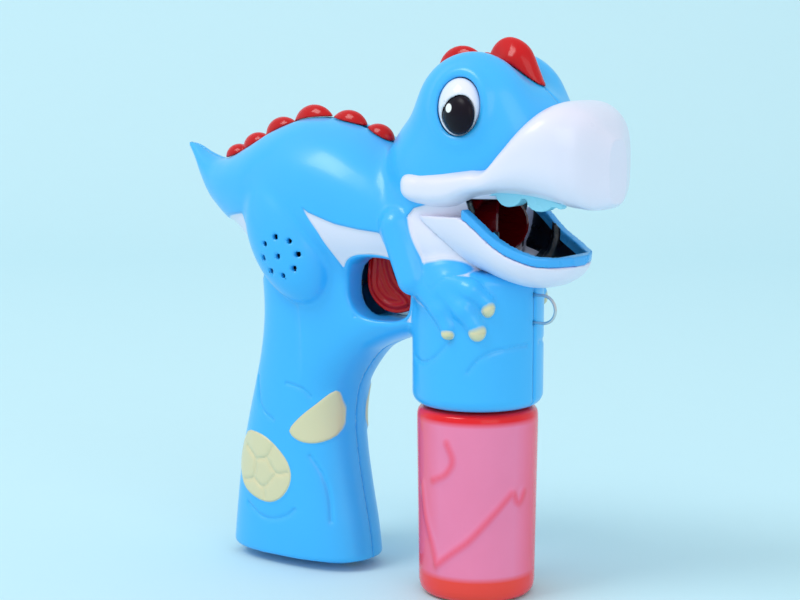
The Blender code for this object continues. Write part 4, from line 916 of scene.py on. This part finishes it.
def plastic(name, colour, rough, scale=520.0, mottle=0.03, grain=0.006, paints=(), soft=0.14, rim=None,
            creases=False, **sockets):
    """Moulded plastic: slightly mottled colour, uneven gloss and fine surface grain.

    paints is a list of (attribute, colour) that take over where the attribute is positive, across a
    border of width soft. rim is a colour for the surface seen at a glancing angle, painted light along the
    edges: a lighter painted sheen on the clear red and a deeper red on the bottle. creases adds the
    grooves of the case's engraved lines and paint borders.
    """
    if name in MATERIALS:
        return MATERIALS[name]
    made = bpy.data.materials.new(name)
    made.use_nodes = True
    tree = made.node_tree
    shader = tree.nodes["Principled BSDF"]
    for key, value in sockets.items():
        shader.inputs[key.replace("_", " ")].default_value = value

    place = node(tree, "ShaderNodeTexCoord")
    shade = node(tree, "ShaderNodeMix", data_type="RGBA")
    tree.links.new(noise(tree, place, 45.0, 4.0), shade.inputs["Factor"])
    shade.inputs["A"].default_value = (*[c * (1 - mottle) for c in colour], 1)
    shade.inputs["B"].default_value = (*[min(1, c * (1 + mottle)) for c in colour], 1)
    colour_out = shade.outputs["Result"]
    for attribute, paint in paints:
        reader = node(tree, "ShaderNodeAttribute", attribute_name=attribute)
        colour_out = painted(tree, colour_out, paint, spread(tree, reader.outputs["Fac"], -soft, soft))
    # Painted light: the rim colour takes over where the surface is seen edge-on.
    if rim:
        facing = node(tree, "ShaderNodeLayerWeight")
        facing.inputs["Blend"].default_value = 0.5
        colour_out = painted(tree, colour_out, rim, spread(tree, facing.outputs["Facing"], 0.25, 0.85))
    tree.links.new(colour_out, shader.inputs["Base Color"])

    gloss = node(tree, "ShaderNodeMapRange")
    gloss.inputs["To Min"].default_value = rough * 0.8
    gloss.inputs["To Max"].default_value = rough * 1.25
    tree.links.new(noise(tree, place, 130.0, 5.0), gloss.inputs["Value"])
    tree.links.new(gloss.outputs["Result"], shader.inputs["Roughness"])

    normal = bumped(tree, noise(tree, place, scale, 3.0), 0.35, grain * MM * 10)
    if creases:
        for attribute, reach, depth in (("crease", 0.9, 0.35), ("white", 0.5, 0.4), ("cream", 0.5, 0.3)):
            reader = node(tree, "ShaderNodeAttribute", attribute_name=attribute)
            away = node(tree, "ShaderNodeMath", operation="ABSOLUTE")
            tree.links.new(reader.outputs["Fac"], away.inputs[0])
            groove = spread(tree, away.outputs[0], 0.0, reach, interpolation_type="SMOOTHSTEP")
            normal = bumped(tree, groove, 0.6, depth * MM, normal)
    tree.links.new(normal, shader.inputs["Normal"])
    MATERIALS[name] = made
    return made


BLUE, WHITE, CREAM = (0.040, 0.475, 0.98), (0.82, 0.80, 0.94), (0.74, 0.68, 0.42)
# Painted shade: near-black laid on the case and the mouth tray deep inside the mouth, where the room behind
# it is unlit.
SHADE_BLACK = (0.002, 0.005, 0.012)


def painted_plastic():
    # Blue case with white and cream paint, and near-black painted shade inside the mouth.
    return plastic("painted_case", BLUE, 0.30, creases=True,
                   paints=[("white", WHITE), ("cream", CREAM), ("dark", SHADE_BLACK)],
                   Coat_Weight=0.25, Coat_Roughness=0.12)


def white_plastic():
    return plastic("white_moulding", WHITE, 0.30, Coat_Weight=0.2, Coat_Roughness=0.12)


def liner_plastic():
    return plastic("liner_blue", (0.05, 0.42, 0.92), 0.28, paints=[("dark", SHADE_BLACK)])


def tooth_plastic():
    return plastic("tooth_pale", (0.30, 0.72, 0.90), 0.25)


def clear_red():
    # The lighter rim colour is a painted sheen along the edges of the clear red.
    return plastic("clear_red", (0.58, 0.0, 0.003), 0.14, mottle=0.25, rim=(0.72, 0.02, 0.02),
                   Specular_IOR_Level=0.35)


def eye_white():
    return plastic("eye_white", (0.86, 0.86, 0.96), 0.16, Coat_Weight=0.5, Coat_Roughness=0.05)


def pupil_gloss_and_painted_catchlight():
    # Glossy black pupil with a painted white catchlight highlight.
    return plastic("pupil_gloss_and_painted_catchlight", (0.006, 0.003, 0.009), 0.3, Specular_IOR_Level=0.15,
                   paints=[("catchlight", (0.95, 0.95, 0.95))])


def bottle_plastic():
    # The rim is a deeper red painted where the bottle is seen edge-on, standing in for light passing
    # through more of its clear wall.
    return plastic("bottle_pink", (1.0, 0.25, 0.44), 0.10, mottle=0.08, soft=1.1, rim=(1.0, 0.05, 0.09),
                   paints=[("pool", (0.95, 0.07, 0.05)), ("band", (0.93, 0.012, 0.02)),
                           ("swirl", (0.98, 0.11, 0.20))],
                   Transmission_Weight=0.06, IOR=1.25, Coat_Weight=0.3, Coat_Roughness=0.06)


def liquid():
    return plastic("bubble_liquid", (0.96, 0.05, 0.03), 0.06, mottle=0.08,
                   Transmission_Weight=0.4, IOR=1.33)


# CAD parts that stay: material name, its settings, and the parts.
INNER_LOOKS = [
    ("steel", dict(colour=(0.62, 0.63, 0.66), rough=0.28, scale=900, Metallic=1.0),
     ["trigger_pin", "trigger_spring", "motor", "motor_shaft", "gear_plate", "gear_pin", "cord_loop",
      "battery_contact_upper", "battery_contact_lower", *[f"case_screw_{k}" for k in range(1, 7)]]),
    ("brass", dict(colour=(0.74, 0.52, 0.22), rough=0.3, scale=900, Metallic=1.0),
     ["motor_pinion", "battery_door_screw"]),
    ("nylon", dict(colour=(0.82, 0.80, 0.72), rough=0.42),
     ["fan", "push_rod", "compound_gear", "pump_gear", *[f"pump_roller_{k}" for k in range(1, 4)]]),
    ("grey", dict(colour=(0.20, 0.21, 0.23), rough=0.45), ["pump_rotor", "pump_housing", "air_duct"]),
    ("hose_clear", dict(colour=(0.80, 0.86, 0.88), rough=0.2, Transmission_Weight=0.6, IOR=1.4),
     ["pump_hose", "dip_tube"]),
    ("rubber", dict(colour=(0.03, 0.03, 0.033), rough=0.62, grain=0.02),
     ["bottle_gasket", "speaker", "trigger_switch"]),
    ("case_blue", dict(colour=BLUE, rough=0.3), ["bottle_socket", "battery_door"]),
    ("cell_green", dict(colour=(0.04, 0.28, 0.10), rough=0.32, mottle=0.1),
     [f"battery_cell_{k}" for k in range(1, 4)]),
    ("board_green", dict(colour=(0.015, 0.2, 0.08), rough=0.4, mottle=0.25), ["circuit_board"]),
    ("led_clear", dict(colour=(0.9, 0.92, 0.95), rough=0.08, Transmission_Weight=0.5),
     ["back_light", "head_light"]),
    ("shaded_red", dict(colour=(0.16, 0.0, 0.002), rough=0.2, mottle=0.15, Transmission_Weight=0.1),
     ["wiper", "bubble_ring"]),
]


def finish(thing, body, material, replaced):
    """Give a piece its material, body and slot, and hide the CAD node that it stands for."""
    thing.data.materials.clear()
    thing.data.materials.append(material)
    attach(thing, body)
    if replaced:
        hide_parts(replaced)


def dress_nodes():
    """Better materials on the CAD nodes that stay."""
    for look_name, settings, names in INNER_LOOKS:
        look = plastic(look_name, **settings)
        for name in names:
            thing = NODES[name]
            if not thing.material_slots:
                thing.data.materials.append(look)
            for holder in thing.material_slots:
                holder.material = look


# ---------------------------------------------------------------- studio
VIEW = math.radians(35), math.radians(8)


def studio():
    """Pale floor and soft light round the object."""
    scene = bpy.context.scene
    scene.view_settings.view_transform = "Standard"
    half, flat, bend, rise = 5.0, 1.0, 0.8, 3.0
    profile = [(-half, 0.0), (flat, 0.0)]
    for k in range(1, 13):
        turn = math.radians(90 * k / 12)
        profile.append((flat + bend * math.sin(turn), bend * (1 - math.cos(turn))))
    profile.append((flat + bend, rise))
    back = Vector((-math.sin(VIEW[0]), math.cos(VIEW[0]), 0))
    side = Vector((back.y, -back.x, 0))
    verts, faces = [], []
    for away, z in profile:
        verts += [back * away + side * s + Vector((0, 0, z)) for s in (-half, half)]
    for k in range(len(profile) - 1):
        faces.append((2 * k, 2 * k + 1, 2 * k + 3, 2 * k + 2))
    mesh = bpy.data.meshes.new("floor")
    mesh.from_pydata(verts, [], faces)
    mesh.shade_smooth()
    floor = add_object("floor", mesh)
    pale = plastic("floor_pale", (0.61, 0.855, 0.925), 0.95, scale=60, mottle=0.004, grain=0.001,
                   Specular_IOR_Level=0.1)
    floor.data.materials.append(pale)

    world = bpy.data.worlds.new("soft_sky")
    world.use_nodes = True
    sky = world.node_tree.nodes["Background"]
    sky.inputs["Color"].default_value = (0.95, 0.98, 1.0, 1)
    sky.inputs["Strength"].default_value = 0.80
    scene.world = world
    middle = Vector((-0.035, 0, 0.1))
    for name, place, power, width in (("key", (-0.9, -1.6, 2.4), 26.0, 1.2),
                                      ("fill", (2.2, -1.4, 1.2), 9.0, 1.6)):
        light = bpy.data.lights.new(name, "AREA")
        light.energy, light.size = power, width
        lamp = add_object(name, light)
        lamp.location = place
        lamp.rotation_euler = (Vector(place) - middle).to_track_quat("Z", "Y").to_euler()


def camera():
    """Camera a little above, ahead of the toy's right side."""
    (azimuth, elevation), reach = VIEW, 0.680
    target = Vector((-0.0334, 0.0, 0.1015))
    back = Vector((math.sin(azimuth) * math.cos(elevation), -math.cos(azimuth) * math.cos(elevation),
                   math.sin(elevation)))
    lens = bpy.data.cameras.new("camera")
    lens.lens, lens.sensor_width = 85, 36
    lens.clip_start = 0.01
    eye = add_object("camera", lens)
    right = Vector((math.cos(azimuth), math.sin(azimuth), 0))
    turn = Matrix((right, back.cross(right), back)).transposed().to_4x4()
    eye.matrix_world = Matrix.Translation(target + back * reach) @ turn
    bpy.context.scene.camera = eye


camera()
studio()
build_case()
build_muzzle()
build_jaw()
build_teeth()
build_crests()
build_eyes()
build_trigger()
build_bottle()
build_liquid()
dress_nodes()
